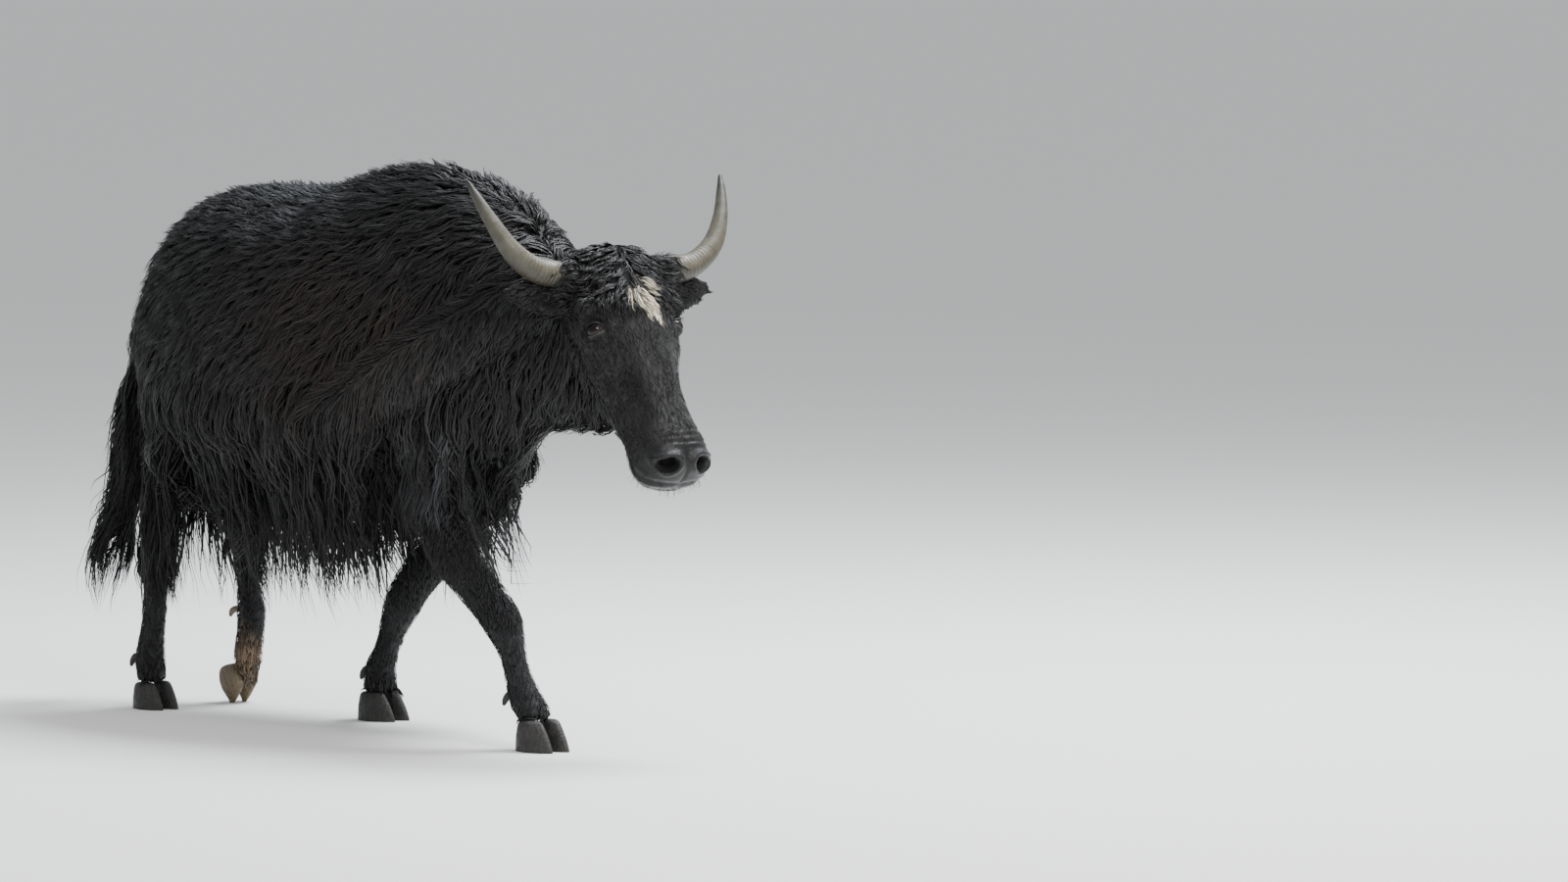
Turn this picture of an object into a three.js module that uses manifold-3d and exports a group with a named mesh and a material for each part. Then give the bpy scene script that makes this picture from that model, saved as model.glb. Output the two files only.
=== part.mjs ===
// A long-haired yak cow at a slow walk, as a life-size still model.
// Millimetres, +Z up. The animal faces +X and its left side is +Y.
// Every outline below is the outside of the coat, out to the ends of the hair.
import * as THREE from "three";
import { mergeVertices } from "three/addons/utils/BufferGeometryUtils.js";
import Module from "manifold-3d";

const wasm = await Module();
wasm.setup();

// Clearance between neighbouring pieces, and the number of sides of each kind of section
const gap = 0.4;
const bodySegments = 26;
const headSegments = 22;
const legSegments = 10;
const hornSegments = 10;
const earSegments = 10;
const clawSegments = 12;
const tailSegments = 14;
const bibSegments = 12;
const dewclawSegments = 6;

// Trunk and neck: upright sections from the rump to the throat, each from its top to its bottom.
// middle is the height of the widest place, and ridge and belly shape the halves above and below it.
const bodyStations = [
  { at: -935, top: 890, middle: 790, bottom: 700, half: 36, ridge: 2, belly: 2 },
  { at: -915, top: 965, middle: 800, bottom: 600, half: 106, ridge: 1.95, belly: 2 },
  { at: -880, top: 1030, middle: 800, bottom: 520, half: 156, ridge: 1.9, belly: 2.2 },
  { at: -815, top: 1098, middle: 800, bottom: 450, half: 206, ridge: 1.85, belly: 2.4 },
  { at: -670, top: 1142, middle: 795, bottom: 405, half: 256, ridge: 1.9, belly: 2.5 },
  { at: -500, top: 1150, middle: 780, bottom: 390, half: 288, ridge: 2, belly: 2.5 },
  { at: -350, top: 1152, middle: 770, bottom: 385, half: 298, ridge: 1.95, belly: 2.5 },
  { at: -200, top: 1198, middle: 770, bottom: 385, half: 288, ridge: 1.75, belly: 2.4 },
  { at: -60, top: 1212, middle: 775, bottom: 395, half: 262, ridge: 1.65, belly: 2 },
  { at: 80, top: 1192, middle: 800, bottom: 425, half: 232, ridge: 1.7, belly: 1.4 },
  { at: 150, top: 1172, middle: 820, bottom: 470, half: 210, ridge: 1.75, belly: 1.3 },
  { at: 220, top: 1140, middle: 845, bottom: 575, half: 184, ridge: 1.8, belly: 1.35 },
  { at: 270, top: 1104, middle: 860, bottom: 625, half: 164, ridge: 1.85, belly: 1.5 },
  { at: 310, top: 1052, middle: 865, bottom: 645, half: 148, ridge: 1.9, belly: 1.6 },
  { at: 360, top: 1012, middle: 860, bottom: 650, half: 132, ridge: 2, belly: 1.7 },
  { at: 430, top: 990, middle: 840, bottom: 645, half: 112, ridge: 2, belly: 1.7 },
  { at: 500, top: 930, middle: 800, bottom: 645, half: 84, ridge: 2, belly: 1.8 },
  { at: 560, top: 810, middle: 735, bottom: 662, half: 44, ridge: 2, belly: 2 },
];
const bodyRingPlaces = [
  -935, -915, -890, -850, -790, -700, -600, -500, -400, -310, -230, -160, -80,
  0, 60, 110, 160, 205, 245, 285, 320, 360, 410, 460, 510, 560,
];
const neckParting = { at: [210, 0, 800], direction: [1, 0, -0.18] };

// Head: sections across the face's own axis, from above the poll to the end of the nose.
// over and under are the outline in front of and behind that axis, as seen from the side.
const pollPoint = [505, 6, 1030]; // the top of the skull, between the horns
const headTurn = degrees(-6.5); // the head looks a little to the animal's right
const headPitch = degrees(32); // the face's slope from the vertical
const axisDepth = 80; // the sections are centred this far behind the face
const headStations = [
  { at: -34, over: -22, under: 70, half: 40, front: 2, back: 2 },
  { at: -22, over: 0, under: 105, half: 84, front: 2.2, back: 2 },
  { at: 0, over: 14, under: 145, half: 106, front: 2.4, back: 2.1 },
  { at: 45, over: 20, under: 188, half: 118, front: 2.6, back: 2.2 },
  { at: 100, over: 18, under: 212, half: 120, front: 2.6, back: 2.2 },
  { at: 160, over: 12, under: 220, half: 117, front: 2.5, back: 2.1 },
  { at: 215, over: 4, under: 220, half: 100, front: 2.3, back: 2 },
  { at: 275, over: -2, under: 208, half: 82, front: 2.2, back: 1.9 },
  { at: 335, over: -5, under: 184, half: 70, front: 2.2, back: 1.9 },
  { at: 390, over: -6, under: 158, half: 70, front: 2.4, back: 2 },
  { at: 440, over: -3, under: 142, half: 80, front: 2.6, back: 2.3 },
  { at: 478, over: -8, under: 134, half: 78, front: 2.5, back: 2.3 },
  { at: 498, over: -24, under: 118, half: 60, front: 2.3, back: 2.2 },
  { at: 508, over: -48, under: 96, half: 32, front: 2, back: 2 },
];
const headRingPlaces = [
  -34, -22, 0, 25, 50, 80, 115, 150, 185, 220, 260, 300, 340, 380, 415, 445, 468, 486, 498, 508,
];
const muzzleStart = 408;
const browPlace = { down: 118, out: -30, left: 112 }; // the rim of the eye socket
const browSize = [24, 26, 30];
const nostrilPlace = { down: 486, out: -30, left: 40 };
const nostrilSize = [20, 15, 9];
const nostrilSlant = degrees(35);
const eyePlace = { down: 167, out: -38, left: 95 };
const eyeRadius = 20;

// Horns: out from beside the poll, then up and back to the tips.
const hornPath = [
  { out: 92, up: 0, back: 10, radius: 30 },
  { out: 150, up: 2, back: 6, radius: 28.5 },
  { out: 205, up: 16, back: 4, radius: 26.5 },
  { out: 253, up: 54, back: 10, radius: 22.5 },
  { out: 285, up: 108, back: 28, radius: 16.5 },
  { out: 306, up: 160, back: 54, radius: 10.5 },
  { out: 317, up: 197, back: 74, radius: 3.5 },
];
const hornRootPlace = { down: 36, out: -36, left: 0 };

// Ears: long leaves, cupped on the side that faces forward.
const earPath = [
  { out: 92, up: 0, back: 42, width: 22, thick: 17 },
  { out: 124, up: 4, back: 40, width: 34, thick: 18 },
  { out: 160, up: 5, back: 42, width: 40, thick: 15 },
  { out: 200, up: 8, back: 50, width: 35, thick: 12 },
  { out: 234, up: 13, back: 60, width: 21, thick: 9 },
  { out: 254, up: 17, back: 68, width: 7, thick: 4 },
];
const earRootPlace = { down: 96, out: -34, left: 0 };
const earLean = 0.25; // how far the top edge of an ear leans back for its height
const cupSize = [62, 20, 28];
const cupPlace = { out: 172, up: 6, back: 24 };

// Legs: joints from inside the trunk down to the top of the hoof, the height where upper and lower leg
// part, the middle of the fetlock, and the foot: where it stands, its turn in degrees, how far it tips
// over its toe, and the spacing and size of its two claws.
const legPlans = {
  foreleg_right: {
    joints: [
      { at: [20, -112, 770], fore: 96, side: 48 },
      { at: [52, -138, 640], fore: 94, side: 56 },
      { at: [92, -148, 510], fore: 86, side: 56 },
      { at: [160, -136, 392], fore: 70, side: 50 },
      { at: [242, -120, 305], fore: 49, side: 43 },
      { at: [284, -111, 252], fore: 45, side: 42 },
      { at: [302, -107, 205], fore: 31, side: 31 },
      { at: [316, -104, 158], fore: 28, side: 28 },
      { at: [333, -102, 112], fore: 36, side: 36 },
      { at: [356, -101, 82], fore: 33, side: 40 },
      { at: [382, -100, 40], fore: 35, side: 44 },
    ],
    partingHeight: 252,
    foot: { at: [386, -100], turn: -3, tip: 0, spread: 26.5, scale: 1 },
    fetlock: [333, -102, 112],
  },
  foreleg_left: {
    joints: [
      { at: [40, 118, 740], fore: 94, side: 46 },
      { at: [0, 138, 630], fore: 92, side: 54 },
      { at: [-70, 140, 515], fore: 82, side: 52 },
      { at: [-180, 120, 385], fore: 62, side: 49 },
      { at: [-258, 100, 290], fore: 46, side: 43 },
      { at: [-284, 93, 242], fore: 45, side: 42 },
      { at: [-303, 89, 195], fore: 31, side: 31 },
      { at: [-322, 87, 150], fore: 28, side: 28 },
      { at: [-342, 85, 108], fore: 35, side: 36 },
      { at: [-344, 85, 80], fore: 33, side: 40 },
      { at: [-338, 85, 40], fore: 35, side: 44 },
    ],
    partingHeight: 242,
    foot: { at: [-334, 85], turn: 3, tip: 0, spread: 26, scale: 0.97 },
    fetlock: [-342, 85, 108],
  },
  hindleg_right: {
    joints: [
      { at: [-690, -150, 700], fore: 125, side: 66 },
      { at: [-735, -150, 560], fore: 100, side: 58 },
      { at: [-800, -132, 455], fore: 66, side: 46 },
      { at: [-842, -118, 375], fore: 47, side: 37 },
      { at: [-850, -112, 320], fore: 38, side: 31 },
      { at: [-855, -110, 250], fore: 28, side: 26 },
      { at: [-865, -110, 175], fore: 26, side: 25 },
      { at: [-878, -110, 112], fore: 32, side: 32 },
      { at: [-874, -110, 84], fore: 29, side: 35 },
      { at: [-864, -110, 36], fore: 31, side: 39 },
    ],
    partingHeight: 348,
    foot: { at: [-860, -110], turn: -4, tip: 0, spread: 24, scale: 0.9 },
    fetlock: [-878, -110, 112],
  },
  hindleg_left: {
    joints: [
      { at: [-655, 150, 700], fore: 125, side: 66 },
      { at: [-705, 150, 600], fore: 100, side: 58 },
      { at: [-790, 134, 518], fore: 66, side: 46 },
      { at: [-848, 122, 450], fore: 47, side: 37 },
      { at: [-845, 117, 395], fore: 38, side: 31 },
      { at: [-826, 113, 325], fore: 28, side: 26 },
      { at: [-809, 110, 258], fore: 28, side: 26 },
      { at: [-798, 110, 205], fore: 35, side: 33 },
      { at: [-803, 110, 155], fore: 30, side: 32 },
      { at: [-812, 110, 105], fore: 30, side: 35 },
      { at: [-836, 110, 52], fore: 31, side: 35 },
    ],
    partingHeight: 425,
    foot: { at: [-866, 110], turn: 3, tip: 68, spread: 22, scale: 0.82 },
    fetlock: [-798, 110, 205],
  },
};

// One claw of a hoof, from the sole up, with its toe forward.
const clawStations = [
  { at: 0, toe: 60, heel: -46, half: 24 },
  { at: 20, toe: 53, heel: -47, half: 24 },
  { at: 44, toe: 37, heel: -43, half: 22 },
  { at: 64, toe: 22, heel: -37, half: 18 },
];
const clawHeight = 64;
const toeLean = 6; // the toes of a foot lean together by this much
const toePoint = 0.42; // how much narrower a claw is at its toe
const toeFlat = 5; // a foot that tips over its toe stands on a flat, cut this far above its lowest point

// Tail: a dock, then a broad brush of hair that trails behind.
const tailJoints = [
  { at: [-905, 0, 1000], fore: 34, side: 44 },
  { at: [-948, 0, 930], fore: 36, side: 52 },
  { at: [-978, -2, 820], fore: 44, side: 66 },
  { at: [-1008, -6, 690], fore: 60, side: 84 },
  { at: [-1042, -10, 560], fore: 84, side: 98 },
  { at: [-1070, -14, 440], fore: 98, side: 100 },
  { at: [-1092, -18, 340], fore: 84, side: 82 },
  { at: [-1112, -22, 268], fore: 30, side: 34 },
];
const dockEnd = { at: [-990, 0, 760], direction: [0.25, 0, 1] };

// Fringe: the curtain of hair below each flank, in locks of uneven length.
const fringeStations = [
  { at: -900, low: 330, out: 118, thick: 24 },
  { at: -820, low: 304, out: 172, thick: 32 },
  { at: -640, low: 292, out: 212, thick: 36 },
  { at: -420, low: 280, out: 234, thick: 36 },
  { at: -220, low: 274, out: 226, thick: 36 },
  { at: -80, low: 296, out: 202, thick: 34 },
  { at: 10, low: 330, out: 168, thick: 30 },
  { at: 80, low: 380, out: 118, thick: 24 },
];
const lockPitch = 80; // spacing of the fringe's locks along the body
const lockDepth = 34; // how much a lock hangs below the notch beside it
const fringeTop = 560;
const lockUnevenness = 12;

// Hair that hangs from the brisket between the forelegs.
const bibJoints = [
  { at: [128, -8, 540], fore: 56, side: 64 },
  { at: [124, -8, 470], fore: 60, side: 58 },
  { at: [114, -8, 405], fore: 52, side: 46 },
  { at: [104, -8, 345], fore: 22, side: 20 },
];

// Finishes
const looks = {
  coat: { color: 0x1a1819, roughness: 0.6 },
  muzzle: { color: 0x151414, roughness: 0.35 },
  horn: { color: 0x8e8a78, roughness: 0.45 },
  hoof: { color: 0x3a3733, roughness: 0.5 },
  paleHoof: { color: 0x8f7a56, roughness: 0.55 },
  eye: { color: 0x120d0a, roughness: 0.08 },
};

function degrees(angle) {
  return THREE.MathUtils.degToRad(angle);
}

function vector(values) {
  return new THREE.Vector3(...values);
}

// Smooth value of one size between the stations of a table, which are in order of their "at".
function between(stations, key, at) {
  const last = stations.length - 1;
  let i = 0;
  while (i < last - 1 && at > stations[i + 1].at) i += 1;
  const a = stations[i];
  const b = stations[i + 1];
  const before = stations[Math.max(i - 1, 0)];
  const after = stations[Math.min(i + 2, last)];
  const span = b.at - a.at;
  const t = THREE.MathUtils.clamp((at - a.at) / span, 0, 1);
  const slopeA = ((b[key] - before[key]) / (b.at - before.at)) * span;
  const slopeB = ((after[key] - a[key]) / (after.at - a.at)) * span;
  return (
    (2 * t ** 3 - 3 * t ** 2 + 1) * a[key] +
    (t ** 3 - 2 * t ** 2 + t) * slopeA +
    (3 * t ** 2 - 2 * t ** 3) * b[key] +
    (t ** 3 - t ** 2) * slopeB
  );
}

// A closed surface through rings that all have the same number of points.
function loft(rings) {
  const count = rings[0].length;
  const lastRing = (rings.length - 1) * count;
  const points = rings.flat();
  const firstCentre = points.length;
  for (const ring of [rings[0], rings[rings.length - 1]]) {
    const centre = new THREE.Vector3();
    for (const p of ring) centre.addScaledVector(p, 1 / count);
    points.push(centre);
  }
  const faces = [];
  for (let i = 0; i < count; i++) {
    const next = (i + 1) % count;
    for (let start = 0; start < lastRing; start += count) {
      faces.push(start + i, start + next, start + i + count);
      faces.push(start + next, start + next + count, start + i + count);
    }
    faces.push(firstCentre, next, i);
    faces.push(firstCentre + 1, lastRing + i, lastRing + next);
  }
  const geometry = new THREE.BufferGeometry().setFromPoints(points);
  geometry.setIndex(faces);
  return geometry;
}

// A ring of points, one for each angle round a section.
function ring(segments, pointAt) {
  return Array.from({ length: segments }, (_, i) => pointAt((2 * Math.PI * i) / segments));
}

// A three.js geometry as a solid that can be joined and cut, with its faces turned out.
function solid(geometry) {
  const bare = geometry.clone();
  bare.deleteAttribute("normal");
  bare.deleteAttribute("uv");
  const merged = mergeVertices(bare, 1e-3);
  const vertProperties = merged.attributes.position.array;
  const triVerts = Uint32Array.from(merged.index.array);
  const made = new wasm.Manifold(new wasm.Mesh({ numProp: 3, vertProperties, triVerts }));
  if (made.volume() >= 0) return made;
  triVerts.reverse();
  return new wasm.Manifold(new wasm.Mesh({ numProp: 3, vertProperties, triVerts }));
}

// The largest body of a solid, without the crumbs that a cut can leave.
function largest(shape) {
  return shape.decompose().reduce((best, body) => (body.volume() > best.volume() ? body : best));
}

// A cutting block that fills one side of a plane, out to a reach.
function beyond(point, direction, reach) {
  const block = new THREE.BoxGeometry(reach, reach, reach);
  block.translate(0, 0, reach / 2);
  block.applyQuaternion(new THREE.Quaternion().setFromUnitVectors(upright, direction));
  block.translate(point.x, point.y, point.z);
  return solid(block);
}

// Parts a solid in two at a plane, with the gap between the halves: first the near one, then the far one.
function part(shape, point, direction) {
  const reach = 3000;
  const far = direction.clone().normalize();
  const near = far.clone().negate();
  return [near, far].map((way) =>
    largest(shape.intersect(beyond(point.clone().addScaledVector(way, gap / 2), way, reach))),
  );
}

// A point of an oval whose upper and lower halves differ: power 2 is an ellipse, less is a ridge, more a box.
function ovalPoint(angle, halfWidth, up, down, upperPower, lowerPower) {
  const c = Math.cos(angle);
  const s = Math.sin(angle);
  const power = 2 / (s >= 0 ? upperPower : lowerPower);
  const across = Math.sign(c) * Math.abs(c) ** power * halfWidth;
  const height = Math.sign(s) * Math.abs(s) ** power * (s >= 0 ? up : down);
  return [across, height];
}

// A sweep of ovals along joints: fore is the half size in the limb's own plane, and side the one across it.
function limb(joints, segments, steps = 1, grow = 0) {
  const path = new THREE.CatmullRomCurve3(joints.map((joint) => vector(joint.at)));
  const sizes = joints.map(({ fore, side }, index) => ({ at: index, fore, side }));
  const count = (joints.length - 1) * steps;
  const rings = Array.from({ length: count + 1 }, (_, k) => {
    const centre = path.getPoint(k / count);
    const along = path.getTangent(k / count).normalize();
    const across = new THREE.Vector3(0, 1, 0).projectOnPlane(along).normalize();
    const forward = new THREE.Vector3().crossVectors(across, along);
    const fore = between(sizes, "fore", k / steps) + grow;
    const side = between(sizes, "side", k / steps) + grow;
    if (k === 0) centre.addScaledVector(along, -grow);
    if (k === count) centre.addScaledVector(along, grow);
    return ring(segments, (angle) =>
      centre
        .clone()
        .addScaledVector(forward, Math.cos(angle) * fore)
        .addScaledVector(across, Math.sin(angle) * side),
    );
  });
  return solid(loft(rings));
}

// The head's own directions
const upright = new THREE.Vector3(0, 0, 1);
const headForward = new THREE.Vector3(Math.cos(headTurn), Math.sin(headTurn), 0);
const headLeft = new THREE.Vector3(-Math.sin(headTurn), Math.cos(headTurn), 0);
const faceOut = headForward.clone().applyAxisAngle(headLeft, -headPitch);
const faceDown = new THREE.Vector3().crossVectors(headLeft, faceOut);
const faceAxes = new THREE.Matrix4().makeBasis(faceOut, headLeft, faceDown.clone().negate());

// A place on the head: down the face, out from it, and to the animal's left.
function onHead({ down, out, left }) {
  return vector(pollPoint)
    .addScaledVector(faceDown, down)
    .addScaledVector(faceOut, out)
    .addScaledVector(headLeft, left);
}

// A place beside the head: out to one side, up, and back from a root on the head.
function besideHead(root, side, { out, up, back }) {
  return onHead(root)
    .addScaledVector(headLeft, side * out)
    .addScaledVector(upright, up)
    .addScaledVector(headForward, -back);
}

function body(grow = 0) {
  const rings = bodyRingPlaces.map((at) => {
    const size = (key) => between(bodyStations, key, at);
    const up = size("top") - size("middle") + grow;
    const down = size("middle") - size("bottom") + grow;
    return ring(bodySegments, (angle) => {
      const [y, z] = ovalPoint(angle, size("half") + grow, up, down, size("ridge"), size("belly"));
      return new THREE.Vector3(at, y, z + size("middle"));
    });
  });
  for (const p of rings[0]) p.x -= grow;
  for (const p of rings[rings.length - 1]) p.x += grow;
  return solid(loft(rings));
}

function skull(grow = 0) {
  const rings = headRingPlaces.map((at) => {
    const size = (key) => between(headStations, key, at);
    const front = size("over") + axisDepth + grow;
    const rear = Math.max(size("under") - axisDepth, gap) + grow;
    return ring(headSegments, (angle) => {
      const [left, out] = ovalPoint(angle, size("half") + grow, front, rear, size("front"), size("back"));
      return onHead({ down: at, out: out - axisDepth, left });
    });
  });
  for (const p of rings[0]) p.addScaledVector(faceDown, -grow);
  for (const p of rings[rings.length - 1]) p.addScaledVector(faceDown, grow);
  return solid(loft(rings));
}

// An oval ball on the head, on one side, along the face's own directions.
function headBall(place, size, side, segments, slant = 0, grow = 0) {
  const ball = new THREE.SphereGeometry(1, segments, Math.ceil(segments / 2) + 1);
  ball.scale(...size.map((half) => half + grow));
  ball.rotateX(side * slant);
  ball.applyMatrix4(faceAxes);
  const centre = onHead({ ...place, left: side * place.left });
  ball.translate(centre.x, centre.y, centre.z);
  return solid(ball);
}

const brow = (side, grow = 0) => headBall(browPlace, browSize, side, 10, 0, grow);
const nostril = (side) => headBall(nostrilPlace, nostrilSize, side, 8, nostrilSlant);
const eye = (side, grow = 0) => headBall(eyePlace, [eyeRadius, eyeRadius, eyeRadius], side, 12, 0, grow);

function horn(side, grow = 0) {
  const joints = hornPath.map((place) => ({
    at: besideHead(hornRootPlace, side, place).toArray(),
    fore: place.radius,
    side: place.radius,
  }));
  return limb(joints, hornSegments, 2, grow);
}

function ear(side, grow = 0) {
  const widthDirection = upright.clone().addScaledVector(headForward, -earLean).normalize();
  const rings = earPath.map((place) => {
    const centre = besideHead(earRootPlace, side, place);
    return ring(earSegments, (angle) =>
      centre
        .clone()
        .addScaledVector(widthDirection, Math.cos(angle) * (place.width + grow))
        .addScaledVector(headForward, Math.sin(angle) * (place.thick + grow)),
    );
  });
  const leaf = solid(loft(rings));
  if (grow) return leaf;
  const cup = new THREE.SphereGeometry(1, earSegments, 6);
  cup.scale(...cupSize);
  cup.rotateZ(headTurn + Math.PI / 2);
  const centre = besideHead(earRootPlace, side, cupPlace);
  cup.translate(centre.x, centre.y, centre.z);
  return leaf.subtract(solid(cup));
}

function claw(foot, side) {
  const rings = clawStations.map(({ at, toe, heel, half }) =>
    ring(clawSegments, (angle) => {
      const forward = Math.max(Math.cos(angle), 0);
      const x = (toe + heel) / 2 + (Math.cos(angle) * (toe - heel)) / 2;
      const y = side * (foot.spread / foot.scale - toeLean * forward);
      return new THREE.Vector3(x, y + Math.sin(angle) * half * (1 - toePoint * forward ** 2), at);
    }),
  );
  const geometry = loft(rings);
  geometry.scale(foot.scale, foot.scale, foot.scale);
  geometry.rotateY(degrees(foot.tip));
  geometry.rotateZ(degrees(foot.turn));
  return geometry;
}

// How far a foot that tips over its toe is lifted, so that it stands on its flat.
function footLift(foot) {
  if (!foot.tip) return 0;
  const test = claw(foot, 1);
  test.computeBoundingBox();
  return -test.boundingBox.min.z - toeFlat;
}

function standingClaw(foot, side) {
  const geometry = claw(foot, side);
  geometry.translate(foot.at[0], foot.at[1], footLift(foot));
  const reach = 1000;
  return solid(geometry).intersect(beyond(new THREE.Vector3(foot.at[0], foot.at[1], 0), upright, reach));
}

// The block on the far side of the plane where a leg ends, just above its claws.
function footBlock(foot) {
  const up = upright.clone().applyEuler(new THREE.Euler(0, degrees(foot.tip), degrees(foot.turn), "ZYX"));
  const top = new THREE.Vector3(foot.at[0], foot.at[1], footLift(foot));
  top.addScaledVector(up, clawHeight * foot.scale + gap);
  const reach = 400;
  return beyond(top, up.negate(), reach);
}

// One of the two small claws behind a fetlock. They swing out behind a foot that tips over its toe.
function dewclaw({ fetlock, foot }, side, grow = 0) {
  const [x, y, z] = fetlock;
  const swing = foot.tip ? 12 : 0;
  const joints = [
    { at: [x - 26, y + side * 15, z + 2], fore: 9, side: 8 },
    { at: [x - 38 - swing, y + side * 16, z - 10 + swing / 2], fore: 9, side: 8 },
    { at: [x - 44 - swing, y + side * 16, z - 24 + swing / 2], fore: 4, side: 4 },
  ];
  return limb(joints, dewclawSegments, 1, grow);
}

function fringe(side) {
  const first = fringeStations[0].at;
  const last = fringeStations[fringeStations.length - 1].at;
  const count = 2 * Math.round((last - first) / lockPitch);
  const rings = Array.from({ length: count + 1 }, (_, k) => {
    const x = THREE.MathUtils.lerp(first, last, k / count);
    const out = between(fringeStations, "out", x);
    const thick = between(fringeStations, "thick", x);
    const uneven = lockUnevenness * Math.sin(k * 1.7 + side);
    const low = between(fringeStations, "low", x) + uneven + (k % 2 ? 0 : lockDepth);
    const middle = (low + fringeTop) / 2;
    const section = [
      [out, fringeTop],
      [out + thick / 2, middle],
      [out + 4, low],
      [out - 6, low],
      [out - thick / 2, middle],
      [out - thick, fringeTop],
    ];
    return section.map(([y, z]) => new THREE.Vector3(x, side * y, z));
  });
  return solid(loft(rings));
}

// Assembly
const yak = new THREE.Group();

function add(name, shape, look) {
  const { vertProperties, triVerts } = shape.getMesh();
  const geometry = new THREE.BufferGeometry();
  geometry.setAttribute("position", new THREE.BufferAttribute(vertProperties, 3));
  geometry.setIndex(new THREE.BufferAttribute(triVerts, 1));
  geometry.computeVertexNormals();
  const mesh = new THREE.Mesh(geometry, new THREE.MeshStandardMaterial({ ...looks[look], metalness: 0 }));
  mesh.name = name;
  yak.add(mesh);
}

const sides = [
  { word: "right", sign: -1 },
  { word: "left", sign: 1 },
];

// Head, with what stands out of it
const headKeepOut = skull(gap).add(brow(-1, gap)).add(brow(1, gap));
let headShape = skull().add(brow(-1)).add(brow(1)).subtract(nostril(-1)).subtract(nostril(1));
for (const { word, sign } of sides) {
  headShape = headShape.subtract(eye(sign, gap)).subtract(horn(sign, gap));
  add(`eye_${word}`, eye(sign), "eye");
  add(`horn_${word}`, horn(sign), "horn");
  add(`ear_${word}`, largest(ear(sign).subtract(headKeepOut).subtract(horn(sign, gap))), "coat");
}
const muzzlePlane = onHead({ down: muzzleStart, out: 0, left: 0 });
const [head, muzzle] = part(largest(headShape), muzzlePlane, faceDown);
add("head", head, "coat");
add("muzzle", muzzle, "muzzle");

// Trunk and neck
const tailKeepOut = limb(tailJoints, tailSegments, 1, gap);
let [trunk, neck] = part(body(), vector(neckParting.at), vector(neckParting.direction));
trunk = trunk.subtract(tailKeepOut);
neck = neck.subtract(headKeepOut);
for (const { sign } of sides) neck = neck.subtract(ear(sign, gap)).subtract(horn(sign, gap));
add("trunk", largest(trunk), "coat");
add("neck", largest(neck), "coat");

// Tail
const tail = limb(tailJoints, tailSegments);
const [tailSwitch, dock] = part(tail, vector(dockEnd.at), vector(dockEnd.direction));
add("tail_dock", dock, "coat");
add("tail_switch", tailSwitch, "coat");

// Legs, with their claws
const bodyKeepOut = body(gap);
let legsKeepOut = null;
for (const [name, plan] of Object.entries(legPlans)) {
  const keepOut = limb(plan.joints, legSegments, 1, gap);
  legsKeepOut = legsKeepOut ? legsKeepOut.add(keepOut) : keepOut;
  let leg = limb(plan.joints, legSegments).subtract(bodyKeepOut).subtract(footBlock(plan.foot));
  const look = plan.foot.tip ? "paleHoof" : "hoof";
  for (const { sign } of sides) {
    const place = Math.sign(plan.foot.at[1]) === sign ? "outer" : "inner";
    leg = leg.subtract(dewclaw(plan, sign, gap));
    add(`${name}_claw_${place}`, largest(standingClaw(plan.foot, sign)), look);
    add(`${name}_dewclaw_${place}`, dewclaw(plan, sign), look);
  }
  const [lower, upper] = part(largest(leg), new THREE.Vector3(0, 0, plan.partingHeight), upright);
  add(`${name}_upper`, upper, "coat");
  add(`${name}_lower`, lower, "coat");
}

// Hanging hair
const bibKeepOut = limb(bibJoints, bibSegments, 1, gap);
add("brisket_hair", largest(limb(bibJoints, bibSegments).subtract(bodyKeepOut).subtract(legsKeepOut)), "coat");
for (const { word, sign } of sides) {
  let curtain = fringe(sign);
  for (const keepOut of [bodyKeepOut, legsKeepOut, tailKeepOut, bibKeepOut]) {
    curtain = curtain.subtract(keepOut);
  }
  add(`fringe_${word}`, largest(curtain), "coat");
}

// The origin goes to the middle of the model's base.
const extent = new THREE.Box3().setFromObject(yak);
yak.position.set(-(extent.min.x + extent.max.x) / 2, -(extent.min.y + extent.max.y) / 2, -extent.min.z);

export default yak;
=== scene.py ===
# A long-haired yak cow at a slow walk: skin, coat, eyes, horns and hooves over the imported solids.
import math

import bmesh
import bpy
import numpy as np
from mathutils import Matrix, Vector
from mathutils.bvhtree import BVHTree
from mathutils.kdtree import KDTree


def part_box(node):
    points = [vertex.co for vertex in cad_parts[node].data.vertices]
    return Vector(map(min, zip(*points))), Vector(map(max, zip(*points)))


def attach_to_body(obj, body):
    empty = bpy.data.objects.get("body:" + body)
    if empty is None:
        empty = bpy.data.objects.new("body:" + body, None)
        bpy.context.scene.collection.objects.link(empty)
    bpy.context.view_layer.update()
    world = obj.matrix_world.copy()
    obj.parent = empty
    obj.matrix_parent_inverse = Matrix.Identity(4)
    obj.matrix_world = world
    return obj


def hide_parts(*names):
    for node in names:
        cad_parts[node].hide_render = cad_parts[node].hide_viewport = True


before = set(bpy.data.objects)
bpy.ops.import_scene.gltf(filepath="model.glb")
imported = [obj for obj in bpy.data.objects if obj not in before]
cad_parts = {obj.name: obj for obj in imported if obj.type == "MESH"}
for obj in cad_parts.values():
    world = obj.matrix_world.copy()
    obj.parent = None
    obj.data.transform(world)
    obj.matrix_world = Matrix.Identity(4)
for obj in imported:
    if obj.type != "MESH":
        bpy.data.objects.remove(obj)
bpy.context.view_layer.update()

scene = bpy.context.scene
chance = np.random.default_rng(20)
upright = np.array([0.0, 0.0, 1.0])
print("frame loaded")


# Small sums on arrays of points

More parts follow.
